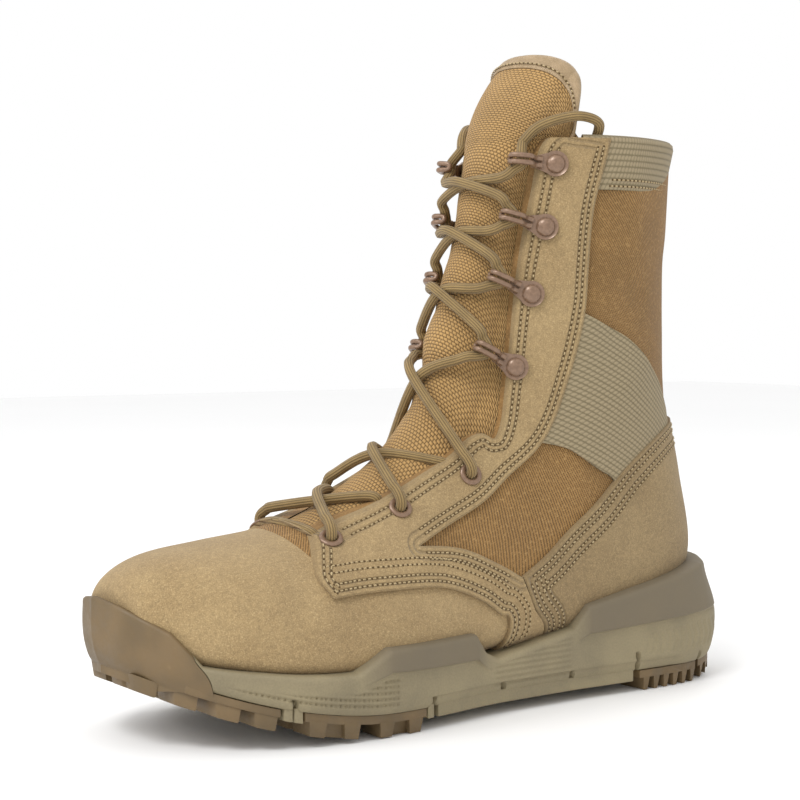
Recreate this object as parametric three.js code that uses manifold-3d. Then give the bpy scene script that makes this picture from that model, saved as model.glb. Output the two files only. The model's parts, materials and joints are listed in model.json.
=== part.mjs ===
// Combat boot, left foot, in millimetres. X runs from heel to toe, +Y is the outer side, Z is up.
// Every piece is worked out from one form, the shape of the last and shaft, and from the sole's outline.

import * as THREE from 'three';
import { mergeVertices } from 'three/addons/utils/BufferGeometryUtils.js';
import Module from 'manifold-3d';

const wasm = await Module();
wasm.setup();

// Driving dimensions of the form
const LENGTH = 300;            // sole, from heel to toe
const BALL_WIDTH = 98;         // upper across the ball of the foot
const HEEL_WIDTH = 75;         // upper across the heel
const SHAFT_WIDTH = 78;        // shaft across the collar
const INSTEP_HEIGHT = 120;     // top of the instep above the floor
const SHAFT_HEIGHT = 234;      // collar above the floor
const FOOTBED_HEIGHT = 25;     // underside of the upper above the floor, at the heel
const TOE_SPRING = 26;         // rise of the tread at the tip
const SPRING_START = 0.64;     // share of the length where the tread leaves the floor

// Walls and clearances
const WALL = 2.4;              // shell of the upper
const OVERLAY = 1.6;           // suede or webbing laid over the shell
const GAP = 0.3;               // between pieces that touch
const SEAT_GAP = 0.5;          // under a flat ring or plate on the hollow of the instep
const CUP_WALL = 4.5;          // edge of the sole outside the upper

// Sole
const SOLE_EDGE_HEIGHT = 58;   // rim of the cup at the back of the heel
const WING_RAISE = 2;          // raised panels on the side
const HEEL_TUCK = 4.5;         // lean of the rim at the back of the heel
const HEEL_BEVEL = 6;          // rise of the tread at the back of the heel
const BEVEL_END = 0.09;        // share of the length where that rise ends
const RIM_ROUND = 2.4;         // inset of the rim's inner corner
const FOAM_FLARE = 0.6;        // inset of the foam's side under the rim
const TREAD_EDGE = 3;          // inset of the tread inside the widest outline
const TREAD_DEPTH = 9;         // rubber under the foam, with its lugs
const LUG_DEPTH = 5.5;         // lugs below the rubber plate
const ARCH_CLEARANCE = 4.5;    // foam of the arch above the floor
const PAD_CLEARANCE = 2.5;     // raised blocks of the arch above the floor
const DRAFT = 0.8;             // taper of a lug at each side
const ROOT = 0.6;              // depth of a lug's root inside its plate
const BEDDING = 1;             // depth of a foam block's root inside the sole
const SIPE_WIDTH = 1.2;        // flex cuts across the foam
const SIPE_TOP = 13;           // their height above the tread's curve
const CHANNEL_WIDTH = 3;       // long groove between outer and middle columns
const NOTCH = 2.5;             // notch in the outer face of an edge lug
const RIB_PITCH = 6;           // saw-tooth ribs of the heel
const RIB_SHARE = 0.62;        // share of the pitch that is rib

// Tongue and insole
const TONGUE_THICKNESS = 6;
const TONGUE_RISE = 36;        // above the collar
const TONGUE_LEAN = 15;        // backwards at its tip
const TONGUE_FLARE = 1.3;      // how much wider it opens above the collar
const TONGUE_CROWN = 6;        // swell of its padding between the facings
const BINDING_WIDTH = 7;
const INSOLE_THICKNESS = 4;

// Metal and lace
const LACE_DIAMETER = 4.2;
const EYELET_RADIUS = 4.7;
const EYELET_BORE = 2.5;
const EYELET_HEIGHT = 1.4;
const BARREL_WALL = 0.6;
const PLATE_RADIUS = 5.2;
const PLATE_THICKNESS = 1.1;
const RIVET_RADIUS = 4;
const RIVET_HEIGHT = 1.3;
const ARM_REACH = 19.4;        // hook arm, ahead of its rivet
const ARM_LENGTH = 11;
const ARM_WIDTH = 5;
const ARM_THICKNESS = 1.9;
const LACE_PLAY = 1.3;         // room for the lace under an arm
const LACE_LIFT = 0.8;         // of a leg over an eyelet or an edge
const LACE_SAG = 2.6;          // of the padding's curve under a straight stretch of lace

// Colours from the real materials
const SUEDE = 0xb39c72;
const CANVAS = 0xa98549;
const WEBBING = 0xa29276;
const FOAM = 0x8d8468;
const RUBBER = 0x8f7555;
const LEATHER = 0xb79b78;
const METAL = 0x8b6c5b;
const CORD = 0x8e7a4e;

const solid = (colour, roughness = 0.9, metalness = 0) =>
  new THREE.MeshStandardMaterial({ color: colour, roughness, metalness });

const clamp = (value, low, high) => Math.min(high, Math.max(low, value));
const mix = (a, b, share) => a + (b - a) * share;
const rad = THREE.MathUtils.degToRad;
const point = (x, y, z) => new THREE.Vector3(x, y, z);

// Rise of the tread's curve above the floor
const spring = (x) => TOE_SPRING * clamp((x / LENGTH - SPRING_START) / (1 - SPRING_START), 0, 1) ** 2;

// The tread also rises at the back of the heel
const tread = (x) => spring(x) + HEEL_BEVEL * clamp(1 - x / LENGTH / BEVEL_END, 0, 1) ** 2;

// Sections of the form. Each one is a closed ring in a plane that fans from upright at the toe to level at
// the collar: crest is its front or top, seat its back or bottom. Widths are half widths to each side.

// x shares of the length, crest of the instep's height, seat of the footbed's, widths of the ball's
const FOOT = [
  // crestX crestZ seatX  seatZ  outer  inner  centre widest crown keel
  [0.975, 0.254, 0.975, 0.900, 0.071, 0.071, -0.071, 0.60, 2.0, 2.0],
  [0.972, 0.299, 0.973, 0.710, 0.168, 0.168, -0.061, 0.65, 2.1, 2.3],
  [0.962, 0.352, 0.963, 0.640, 0.230, 0.230, -0.041, 0.71, 2.2, 2.6],
  [0.933, 0.419, 0.938, 0.606, 0.299, 0.299, -0.036, 0.75, 2.3, 2.8],
  [0.893, 0.480, 0.893, 0.605, 0.400, 0.400, -0.022, 0.77, 2.3, 3.0],
  [0.827, 0.550, 0.820, 0.680, 0.485, 0.485, -0.010, 0.78, 2.2, 3.0],
  [0.760, 0.613, 0.720, 0.770, 0.500, 0.480, 0.005, 0.78, 2.1, 3.0],
  [0.693, 0.695, 0.607, 0.800, 0.485, 0.439, 0.010, 0.77, 2.0, 2.9],
  [0.627, 0.792, 0.483, 0.840, 0.439, 0.393, 0.005, 0.74, 2.0, 2.8],
  [0.567, 0.883, 0.360, 0.920, 0.408, 0.378, 0.000, 0.71, 2.0, 2.8],
];

// crest is a share of the shaft's rise over the instep, seat of the footbed's height, widths of the heel's
const HEEL = [
  [0.517, 0.000, 0.227, 1.000, 0.507, 0.480, 0, 0.68, 2.0, 2.7],
  [0.490, 0.149, 0.113, 1.200, 0.493, 0.480, 0, 0.63, 2.0, 2.5],
];

// crest as above, seat a share of the shaft's height, widths of the shaft's
const SHAFT = [
  [0.473, 0.307, 0.050, 0.214, 0.474, 0.462, 0, 0.56, 2.0, 2.2],
  [0.453, 0.456, 0.067, 0.359, 0.474, 0.462, 0, 0.53, 2.0, 2.1],
  [0.435, 0.596, 0.090, 0.496, 0.487, 0.474, 0, 0.51, 2.0, 2.0],
  [0.420, 0.737, 0.098, 0.654, 0.500, 0.487, 0, 0.50, 2.0, 2.0],
  [0.410, 0.868, 0.095, 0.829, 0.513, 0.500, 0, 0.50, 2.0, 2.0],
  [0.400, 1.000, 0.087, 1.000, 0.513, 0.500, 0, 0.50, 2.0, 2.0],
];

function section(row, crestHeight, seatHeight, width) {
  const [crestX, , seatX, , outer, inner, centre, widest, crown, keel] = row;
  return [
    crestX * LENGTH, crestHeight + spring(crestX * LENGTH),
    seatX * LENGTH, seatHeight + spring(seatX * LENGTH),
    outer * width, inner * width, centre * width, widest, crown, keel,
  ];
}

const shaftRise = (share) => mix(INSTEP_HEIGHT, SHAFT_HEIGHT, share);
const SECTIONS = [
  ...FOOT.map((row) => section(row, row[1] * INSTEP_HEIGHT, row[3] * FOOTBED_HEIGHT, BALL_WIDTH)),
  ...HEEL.map((row) => section(row, shaftRise(row[1]), row[3] * FOOTBED_HEIGHT, HEEL_WIDTH)),
  ...SHAFT.map((row) => section(row, shaftRise(row[1]), row[3] * SHAFT_HEIGHT, SHAFT_WIDTH)),
];
const LAST_SECTION = SECTIONS.length - 1;

function smoothRow(rows, place) {
  const index = Math.min(Math.floor(place), rows.length - 2);
  const t = place - index;
  const [a, b, c, d] = [-1, 0, 1, 2].map((step) => rows[clamp(index + step, 0, rows.length - 1)]);
  return b.map((_, k) => 0.5 * (2 * b[k] + (c[k] - a[k]) * t
    + (2 * a[k] - 5 * b[k] + 4 * c[k] - d[k]) * t ** 2
    + (3 * b[k] - a[k] - 3 * c[k] + d[k]) * t ** 3));
}

// A point of the form: s runs from the toe (0) to the collar (1), the angle from the crest (0) over the
// outer side to the seat (180 degrees) and back over the inner side
function onForm(s, angle) {
  const row = smoothRow(SECTIONS, clamp(s, 0, 1) * LAST_SECTION);
  const [crestX, crestZ, seatX, seatZ, outer, inner, centre, widest, crown, keel] = row;
  const cos = Math.cos(angle);
  const sin = Math.sin(angle);
  const power = 2 / (cos > 0 ? crown : keel);
  const depth = Math.abs(cos) ** power;
  const down = cos > 0 ? widest * (1 - depth) : widest + (1 - widest) * depth;
  const across = (sin >= 0 ? outer : -inner) * Math.abs(sin) ** power;
  return point(mix(crestX, seatX, down), centre + across, mix(crestZ, seatZ, down));
}

// The form goes on above the collar in its last direction, and leans back where the tongue does
function above(s, angle) {
  if (s <= 1) return onForm(s, angle);
  const back = 0.02;
  const top = onForm(1, angle);
  const slope = top.clone().sub(onForm(1 - back, angle)).multiplyScalar((s - 1) / back);
  const rise = slope.z / TONGUE_RISE;
  return top.add(slope).add(point(-TONGUE_LEAN * rise * rise, 0, 0));
}

function normalAt(s, angle, surface = onForm) {
  const step = 0.002;
  const turn = 0.02;
  const low = surface === onForm ? clamp(s - step, 0, 1) : s - step;
  const high = surface === onForm ? clamp(s + step, 0, 1) : s + step;
  const along = surface(high, angle).sub(surface(low, angle));
  const around = surface(s, angle + turn).sub(surface(s, angle - turn));
  return around.cross(along).normalize();
}

function offsetForm(s, angle, distance, surface = onForm) {
  return surface(s, angle).addScaledVector(normalAt(s, angle, surface), distance);
}

// Rings of the lattice that every shell and overlay shares
const RINGS_PER_SECTION = [1, 1, 1, 1, 1, 1, 1, 1, 1, 1, 2, 2, 2, 1, 1, 1, 1];
const RINGS = [0];
RINGS_PER_SECTION.forEach((count, index) => {
  for (let ring = 1; ring <= count; ring += 1) RINGS.push((index + ring / count) / LAST_SECTION);
});
const SPOKES = 24;
const SPOKE = (2 * Math.PI) / SPOKES;

// Closed solids from rings of points, from outlines and from lathes
function toManifold(geometry) {
  const bare = geometry.clone();
  bare.deleteAttribute('normal');
  bare.deleteAttribute('uv');
  const merged = mergeVertices(bare, 1e-4);
  const index = merged.index.array;
  const triangles = [];
  for (let i = 0; i < index.length; i += 3) {
    const [a, b, c] = [index[i], index[i + 1], index[i + 2]];
    if (a !== b && b !== c && c !== a) triangles.push(a, b, c);
  }
  return new wasm.Manifold(new wasm.Mesh({
    numProp: 3,
    vertProperties: new Float32Array(merged.attributes.position.array),
    triVerts: new Uint32Array(triangles),
  }));
}

function toGeometry(manifold) {
  const mesh = manifold.getMesh();
  const positions = new Float32Array(mesh.numVert * 3);
  for (let vertex = 0; vertex < mesh.numVert; vertex += 1) {
    for (let axis = 0; axis < 3; axis += 1) {
      positions[vertex * 3 + axis] = mesh.vertProperties[vertex * mesh.numProp + axis];
    }
  }
  const geometry = new THREE.BufferGeometry();
  geometry.setAttribute('position', new THREE.BufferAttribute(positions, 3));
  geometry.setIndex(Array.from(mesh.triVerts));
  return geometry;
}

// rings run along the solid, each ring counter-clockwise when seen from the last one;
// a solid whose first and last rings are folded flat needs no caps
function loft(rings, capped = true) {
  const count = rings[0].length;
  const points = rings.flat();
  const top = (rings.length - 1) * count;
  const faces = [];
  for (let k = 1; capped && k < count - 1; k += 1) {
    faces.push([0, k + 1, k], [top, top + k, top + k + 1]);
  }
  for (let k = 0; k < count; k += 1) {
    const next = (k + 1) % count;
    for (let ring = 0; ring < rings.length - 1; ring += 1) {
      const base = ring * count;
      faces.push([base + k, base + next, base + count + next], [base + k, base + count + next, base + count + k]);
    }
  }
  const geometry = new THREE.BufferGeometry().setFromPoints(points);
  geometry.setIndex(faces.flat());
  return toManifold(geometry);
}

// The form grown or shrunk by a distance; with headroom it goes on above the collar
const HEADROOM = 10;
function grownForm(distance, headroom = 0) {
  const rings = RINGS.map((s) => {
    const ring = [];
    for (let k = 0; k < SPOKES; k += 1) ring.push(offsetForm(s, k * SPOKE, distance));
    return ring;
  });
  rings[RINGS.length - 1].forEach((p) => p.setZ(SHAFT_HEIGHT));
  if (headroom) rings.push(rings.at(-1).map((p) => p.clone().add(point(0, 0, headroom))));
  return loft(rings);
}

// A side-view outline, given as x and z, pushed through from one y to another
function sidePrism(outline, from, to) {
  const shape = new THREE.Shape(outline.map(([x, z]) => new THREE.Vector2(x, z)));
  const geometry = new THREE.ExtrudeGeometry(shape, { depth: to - from, bevelEnabled: false });
  return toManifold(geometry.rotateX(Math.PI / 2).translate(0, to, 0));
}

// An outline moved outwards, for the clearance round a neighbour
function grown(outline, distance) {
  const clockwise = THREE.ShapeUtils.area(outline.map(([x, z]) => new THREE.Vector2(x, z))) < 0;
  const sign = clockwise ? -1 : 1;
  return outline.map(([x, z], k) => {
    const [px, pz] = outline.at(k - 1);
    const [nx, nz] = outline[(k + 1) % outline.length];
    const a = new THREE.Vector2(x - px, z - pz).normalize();
    const b = new THREE.Vector2(nx - x, nz - z).normalize();
    const out = new THREE.Vector2(a.y + b.y, -a.x - b.x).normalize().multiplyScalar(sign);
    const reach = distance / Math.max(0.5, out.dot(new THREE.Vector2(a.y, -a.x).multiplyScalar(sign)));
    return [x + out.x * reach, z + out.y * reach];
  });
}

function lathe(profile, segments) {
  const points = [...profile, profile[0]].map(([r, z]) => new THREE.Vector2(r, z));
  return new THREE.LatheGeometry(points, segments).rotateX(Math.PI / 2);
}

function tube(points, sides, steps) {
  const curve = new THREE.CatmullRomCurve3(points, false, 'centripetal');
  const outline = [];
  for (let k = 0; k < sides; k += 1) {
    const turn = (2 * Math.PI * k) / sides;
    outline.push(new THREE.Vector2(Math.cos(turn), Math.sin(turn)).multiplyScalar(LACE_DIAMETER / 2));
  }
  return new THREE.ExtrudeGeometry(new THREE.Shape(outline), { extrudePath: curve, steps });
}

const join = (solids) => solids.reduce((whole, next) => whole.add(next));

// Side-view outlines of the overlays: x in shares of the length, z in shares of the shaft's height
const side = (rows) => rows.map(([x, z]) => [x * LENGTH, z * SHAFT_HEIGHT]);
const OVER = 1.06;             // above the collar
const UNDER = 0.02;            // below the rim of the sole

const THROAT_EDGE = [
  [0.752, 0.372], [0.734, 0.322], [0.645, 0.363], [0.588, 0.393], [0.517, 0.437], [0.491, 0.461],
  [0.477, 0.473], [0.461, 0.479], [0.447, 0.468], [0.437, 0.485], [0.428, 0.522], [0.416, 0.615],
  [0.401, 0.744], [0.388, 0.838], [0.374, 0.943], [0.366, 0.985], [0.352, 1.006], [0.330, 1.012],
];
const THROAT = side([...THROAT_EDGE, [0.33, 1.3], [1, 1.3], [1, 0.372]]);

const FACING_BACK = [
  [0.280, 1.002], [0.306, 0.871], [0.316, 0.701], [0.337, 0.574], [0.375, 0.469], [0.434, 0.406],
  [0.488, 0.360], [0.567, 0.317], [0.599, 0.300],
];
const BAND_TOP = [[0.533, 0.290], [0.476, 0.259], [0.437, 0.232]];
const BAND_SEAM = [[0.416, 0.173], [0.387, 0.124], [0.383, UNDER]];
const BAND_LOWER = [
  [0.470, UNDER], [0.461, 0.154], [0.480, 0.175], [0.517, 0.205], [0.577, 0.231], [0.662, 0.236],
  [0.748, 0.232], [0.758, 0.267], [0.735, 0.322],
];
const EYESTAY = side([
  ...FACING_BACK, ...BAND_TOP, ...BAND_SEAM, ...BAND_LOWER, [0.78, 0.42], [0.78, OVER], [0.280, OVER],
]);

const COUNTER_TOP = [
  [0.435, 0.232], [0.390, 0.263], [0.348, 0.302], [0.292, 0.353], [0.241, 0.412], [0.194, 0.453],
  [0.143, 0.482], [0.090, 0.496],
];
const COUNTER = side([...COUNTER_TOP, [-0.1, 0.496], [-0.1, UNDER], [0.381, UNDER], [0.385, 0.124], [0.414, 0.173]]);

const ANKLE_WEB = side([
  [0.36, 0.715], [0.309, 0.685], [0.277, 0.666], [0.246, 0.648], [0.215, 0.621], [0.192, 0.594],
  [0.162, 0.559], [0.140, 0.515], [0.128, 0.440], [0.261, 0.330], [0.261, 0.385], [0.291, 0.411],
  [0.321, 0.436], [0.349, 0.453], [0.42, 0.470],
]);

const COLLAR_WEB = side([
  [0.30, 0.918], [0.230, 0.909], [0.135, 0.909], [-0.1, 0.909], [-0.1, OVER], [0.30, OVER],
]);

const BACK_STRIP = { halfWidth: 11, bottom: 0.498, top: 0.907 };

// Outline of the sole: x in shares of the length, y in shares of the sole's width there
const OUTLINE = [
  // x      outer   inner
  [0.000, 0.000, 0.000],
  [0.012, 0.215, -0.200],
  [0.050, 0.378, -0.350],
  [0.120, 0.482, -0.452],
  [0.250, 0.506, -0.470],
  [0.370, 0.493, -0.436],
  [0.500, 0.455, -0.391],
  [0.630, 0.495, -0.430],
  [0.720, 0.514, -0.477],
  [0.820, 0.477, -0.491],
  [0.900, 0.379, -0.421],
  [0.960, 0.224, -0.299],
  [0.990, 0.093, -0.206],
  [1.000, -0.056, -0.056],
];

// Rim of the cup and the lower line of its raised panels, above the tread's curve, in shares of the rim at
// the heel; panel and tuck are shares of their own sizes
const RIM = [
  // x     rim    line  panel tuck
  [0.000, 1.00, 0.65, 0.6, 1.0],
  [0.077, 0.95, 0.64, 1.0, 0.4],
  [0.230, 0.79, 0.58, 1.0, 0.0],
  [0.320, 0.69, 0.53, 1.0, 0.0],
  [0.343, 0.53, 0.42, 0.0, 0.0],
  [0.483, 0.40, 0.31, 0.0, 0.0],
  [0.507, 0.46, 0.34, 0.3, 0.0],
  [0.530, 0.60, 0.42, 1.0, 0.0],
  [0.680, 0.59, 0.43, 1.0, 0.0],
  [0.727, 0.43, 0.33, 0.0, 0.0],
  [0.847, 0.36, 0.27, 0.0, 0.0],
  [0.917, 0.30, 0.22, 0.0, 0.0],
  [0.947, 0.45, 0.30, 0.0, 0.0],
  [1.000, 0.53, 0.38, 0.0, 0.0],
];

const STATIONS = [
  0, 0.012, 0.03, 0.06, 0.10, 0.16, 0.23, 0.30, 0.322, 0.345, 0.41, 0.483, 0.507, 0.53, 0.60, 0.68,
  0.727, 0.78, 0.847, 0.885, 0.917, 0.947, 0.968, 0.985, 0.995, 1,
];

// Value of a table's column at x: straight between rows, or a smooth curve through them
function column(table, x, k, smooth = false) {
  const index = clamp(table.findIndex((row) => row[0] > x) - 1, 0, table.length - 2);
  const row = x >= 1 ? table.length - 2 : index;
  const [a, b] = [table[row], table[row + 1]];
  const t = (x - a[0]) / (b[0] - a[0]);
  if (!smooth) return mix(a[k], b[k], t);
  const before = table[Math.max(row - 1, 0)];
  const after = table[Math.min(row + 2, table.length - 1)];
  const span = b[0] - a[0];
  const start = ((b[k] - before[k]) / (b[0] - before[0])) * span;
  const end = ((after[k] - a[k]) / (after[0] - a[0])) * span;
  return a[k] * (2 * t ** 3 - 3 * t ** 2 + 1) + start * (t ** 3 - 2 * t ** 2 + t)
    + b[k] * (3 * t ** 2 - 2 * t ** 3) + end * (t ** 3 - t ** 2);
}

const soleWidth = (x) => mix(HEEL_WIDTH, BALL_WIDTH, THREE.MathUtils.smoothstep(x, 0.3, 0.6)) + 2 * CUP_WALL;
const OUTER_SIDE = 1;
const INNER_SIDE = 2;
const edgeY = (x, k) => column(OUTLINE, x, k, x > 0.05 && x < 0.96) * soleWidth(x);

// Edge of the sole at one side, moved inwards by an inset, along the outline's own normal
function edge(x, k, inset) {
  const step = 0.004;
  const [low, high] = [Math.max(0, x - step), Math.min(1, x + step)];
  const along = new THREE.Vector2((high - low) * LENGTH, edgeY(high, k) - edgeY(low, k)).normalize();
  const out = x <= 0 ? new THREE.Vector2(-1, 0) : new THREE.Vector2(-along.y, along.x);
  if (x > 0 && k === INNER_SIDE) out.negate();
  if (x >= 1) out.set(1, 0);
  return new THREE.Vector2(x * LENGTH - out.x * inset, edgeY(x, k) - out.y * inset);
}

// The sole's whole body, filled, from a height above the tread's curve up to its rim
function soleBody(bottom, clearance = 0) {
  const rings = STATIONS.map((x) => {
    const value = (k) => column(RIM, x, k);
    const rim = value(1) * SOLE_EDGE_HEIGHT + clearance;
    const line = value(2) * SOLE_EDGE_HEIGHT;
    const raise = value(3) * WING_RAISE;
    const tuck = value(4) * HEEL_TUCK;
    const levels = [
      [bottom, TREAD_EDGE, tread],
      [bottom + 4, 1, tread],
      [line - 1, FOAM_FLARE, spring],
      [line + 0.5, FOAM_FLARE - raise + tuck * 0.4, spring],
      [rim - 1.5, RIM_ROUND / 2 - 0.8 * raise + tuck, spring],
      [rim, RIM_ROUND - 0.8 * raise + tuck, spring],
    ];
    const profile = (k) => levels.map(([z, inset, curve]) => {
      const flat = edge(x, k, inset - clearance);
      return point(flat.x, flat.y, z + curve(flat.x));
    });
    return [...profile(OUTER_SIDE), ...profile(INNER_SIDE).reverse()];
  });
  return loft(rings, false);
}

// A plate that follows the tread's curve between two x shares and two y shares of the half width;
// a y share of 1 or -1 is the tread's edge
function treadY(x, share, inset) {
  return share >= 0 ? share * edge(x, OUTER_SIDE, inset).y : -share * edge(x, INNER_SIDE, inset).y;
}

function plate({ from, to, inner, outer, bottom, top, steps = 4, inset = TREAD_EDGE }) {
  const rings = [];
  for (let step = 0; step <= steps; step += 1) {
    const x = mix(from, to, step / steps);
    const [low, high] = [inner, outer].map((share) => treadY(x, share, inset));
    const rise = tread(x * LENGTH);
    const corner = (y, z) => point(x * LENGTH, y, z + rise);
    rings.push([corner(low, bottom), corner(low, top), corner(high, top), corner(high, bottom)].reverse());
  }
  return loft(rings);
}

// A block under a plate, down to the tread's curve, narrower at its foot
function lug({ from, to, inner, outer, foot = 0, top = LUG_DEPTH + ROOT, inset = TREAD_EDGE }) {
  const taper = DRAFT / LENGTH;
  const ring = (x, footX) => {
    const [low, high] = [inner, outer].map((share) => treadY(x, share, inset));
    const corner = (px, y, z) => point(px * LENGTH, y, z + tread(px * LENGTH));
    return [
      corner(footX, low + DRAFT, foot), corner(x, low, top), corner(x, high, top), corner(footX, high - DRAFT, foot),
    ].reverse();
  };
  return loft([ring(from, from + taper), ring(to, to - taper)]);
}

// An edge lug has a notch in the middle of its outer face
function notchedLug(place) {
  const third = (place.to - place.from) / 3;
  const outerSide = place.outer > 0;
  const cut = outerSide ? { outer: place.outer } : { inner: place.inner };
  return join([
    lug({ ...place, to: place.from + third }),
    lug({ ...place, from: place.to - third }),
    lug({ ...place, ...cut, from: place.from + third * 0.8, to: place.to - third * 0.8, inset: TREAD_EDGE + NOTCH }),
  ]);
}

// Pieces of the upper
const filled = grownForm(0);
const hollow = grownForm(-WALL, HEADROOM);
const throat = sidePrism(THROAT, -BALL_WIDTH, BALL_WIDTH);

// The underside is open inside a margin that is turned under the foot
const MARGIN = 0.8;            // share of the sole's half width left open
const MOUTH_STATIONS = [0.1, 0.14, 0.24, 0.4, 0.58, 0.72, 0.84, 0.92, 0.945];
function footprint(share, low, high) {
  const [back, front] = [MOUTH_STATIONS[0], MOUTH_STATIONS.at(-1)];
  const taper = (x) => share * Math.sqrt(1 - Math.abs(2 * (x - back) / (front - back) - 1) ** 6);
  const rows = MOUTH_STATIONS.map((x) => [x * LENGTH, taper(x)]);
  const outer = rows.map(([x, part]) => [x, part * treadY(x / LENGTH, 1, TREAD_EDGE)]);
  const inner = rows.slice(1, -1).map(([x, part]) => [x, part * treadY(x / LENGTH, -1, TREAD_EDGE)]);
  const shape = new THREE.Shape([...outer, ...inner.reverse()].map(([x, y]) => new THREE.Vector2(x, y)));
  const geometry = new THREE.ExtrudeGeometry(shape, { depth: high - low, bevelEnabled: false });
  return toManifold(geometry.translate(0, 0, low));
}
const mouth = footprint(MARGIN, -SHAFT_HEIGHT, FOOTBED_HEIGHT + 0.85 * TOE_SPRING);

// Frames on the facing: z out of the leather, x forwards over the throat, y along the facing
function facingFrame(s, degrees, sign, lift) {
  const angle = sign * rad(degrees);
  const out = normalAt(s, angle);
  const origin = offsetForm(s, angle, lift);
  const ahead = onForm(s, angle - sign * 0.02).sub(onForm(s, angle + sign * 0.02));
  ahead.addScaledVector(out, -ahead.dot(out)).normalize();
  const frame = new THREE.Matrix4().makeBasis(ahead, out.clone().cross(ahead), out);
  return frame.setPosition(origin);
}

const SIDES = [['lateral', 1], ['medial', -1]];
const EYELETS = [[0.386, 33], [0.469, 38], [0.559, 44]];
const HOOKS = [[0.705, 43], [0.800, 46], [0.886, 48], [0.963, 49]];
const HOOK_TURNS = [8, 7, 7, 2];      // of the arms downwards, in degrees
const ON_FACING = GAP + OVERLAY + SEAT_GAP;
const eyeletFrames = (sign) => EYELETS.map(([s, angle]) => facingFrame(s, angle, sign, ON_FACING));
const hookFrames = (sign) => HOOKS.map(([s, angle], k) => facingFrame(s, angle, sign, ON_FACING)
  .multiply(new THREE.Matrix4().makeRotationZ(sign * rad(HOOK_TURNS[k]))));

const holeRadius = EYELET_BORE + BARREL_WALL + GAP;
const holes = join(SIDES.flatMap(([, sign]) => eyeletFrames(sign).map((frame) => {
  const drill = new THREE.CylinderGeometry(holeRadius, holeRadius, 16, 8).rotateX(Math.PI / 2);
  return toManifold(drill.applyMatrix4(frame));
})));

const upper = filled.subtract(hollow).subtract(throat).subtract(mouth).subtract(holes);

// Overlays lie between two larger forms
const layer = grownForm(GAP + OVERLAY).subtract(grownForm(GAP, HEADROOM)).subtract(throat);
const aboveSole = layer.subtract(soleBody(0, GAP));
const eyestayOf = (sign) => sidePrism(EYESTAY, sign > 0 ? 4 : -BALL_WIDTH, sign > 0 ? BALL_WIDTH : -4);
const roundEyestays = sidePrism(grown(EYESTAY, GAP), -BALL_WIDTH, BALL_WIDTH);
const roundCounter = sidePrism(grown(COUNTER, GAP), -BALL_WIDTH, BALL_WIDTH);
const eyestays = SIDES.map(([, sign]) => aboveSole.intersect(eyestayOf(sign)).subtract(holes));
const counter = aboveSole.intersect(sidePrism(COUNTER, -BALL_WIDTH, BALL_WIDTH)).subtract(roundEyestays);
const bareShaft = layer.subtract(roundEyestays).subtract(roundCounter);
const ankleWebs = SIDES.map(([, sign]) => bareShaft.intersect(
  sidePrism(ANKLE_WEB, sign > 0 ? 0 : -BALL_WIDTH, sign > 0 ? BALL_WIDTH : 0),
));
const collarWeb = bareShaft.intersect(sidePrism(COLLAR_WEB, -BALL_WIDTH, BALL_WIDTH));
const { bottom: stripBottom, top: stripTop, halfWidth: stripHalf } = BACK_STRIP;
const stripSide = side([[-0.1, stripBottom], [-0.1, stripTop], [0.2, stripTop], [0.2, stripBottom]]);
const backStrip = layer.intersect(sidePrism(stripSide, -stripHalf, stripHalf));

// Insole: a layer of the form's inside, resting on the margin. The cut over it keeps the underside only:
// x shares of the length, z above the spring in shares of the footbed's height.
const INSOLE_CUT = [[0.03, 0.94], [0.2, 1.87], [0.6, 1.59], [0.85, 1.19], [1, 0.74]];
const insoleSide = sidePrism([
  ...INSOLE_CUT.map(([x, z]) => [x * LENGTH, z * FOOTBED_HEIGHT + spring(x * LENGTH)]),
  [LENGTH, 0], [0, 0],
], -BALL_WIDTH, BALL_WIDTH);
const INSOLE_MARGIN = 0.86;
const insole = grownForm(-WALL - GAP)
  .subtract(grownForm(-WALL - GAP - INSOLE_THICKNESS))
  .intersect(footprint(INSOLE_MARGIN, 0, INSTEP_HEIGHT))
  .intersect(insoleSide);

// Tongue: a padded sheet under the facings that goes on above the collar to a round top
const TONGUE_START = RINGS[6];
const TONGUE_COLUMNS = [-3, -2.6, -2, -1, 0, 1, 2, 2.6, 3];
const RISE_PER_S = above(1.02, 0).sub(onForm(1, 0)).z / 0.02;
const archTop = (share) => TONGUE_RISE * (0.06 + 0.94 * Math.sqrt(1 - Math.abs(share) ** 2.1));

// The padding swells between the facings, from the upper eyelets to the tip
const CROWN_HALF = 2 * SPOKE;
const crownAt = (s, angle) => TONGUE_CROWN * THREE.MathUtils.smoothstep(s, 0.45, 0.65)
  * Math.max(0, 1 - (angle / CROWN_HALF) ** 2);
const tongueFront = (s, angle) => crownAt(s, angle) - WALL - SEAT_GAP;

// A point between two spokes lies on the flat facet that joins them
function onLattice(s, spoke, distance) {
  const low = Math.floor(spoke);
  const [a, b] = [low, low + 1].map((k) => offsetForm(s, k * SPOKE, distance, above));
  return a.lerp(b, spoke - low);
}

function tongueSheet(heights, flares) {
  const half = TONGUE_COLUMNS.at(-1);
  const outer = [];
  const inner = [];
  heights.forEach((heightOf, row) => {
    TONGUE_COLUMNS.forEach((k) => {
      const s = heightOf(k / half);
      const front = tongueFront(s, k * SPOKE);
      const back = -WALL - SEAT_GAP - TONGUE_THICKNESS * (1 - 0.5 * (k / half) ** 4);
      outer.push(onLattice(s, k * flares[row], front));
      inner.push(onLattice(s, k * flares[row], back));
    });
  });
  const columns = TONGUE_COLUMNS.length;
  const rings = heights.map((_, row) => [
    ...outer.slice(row * columns, (row + 1) * columns),
    ...inner.slice(row * columns, (row + 1) * columns).reverse(),
  ]);
  return sheetSolid(rings);
}

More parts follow.
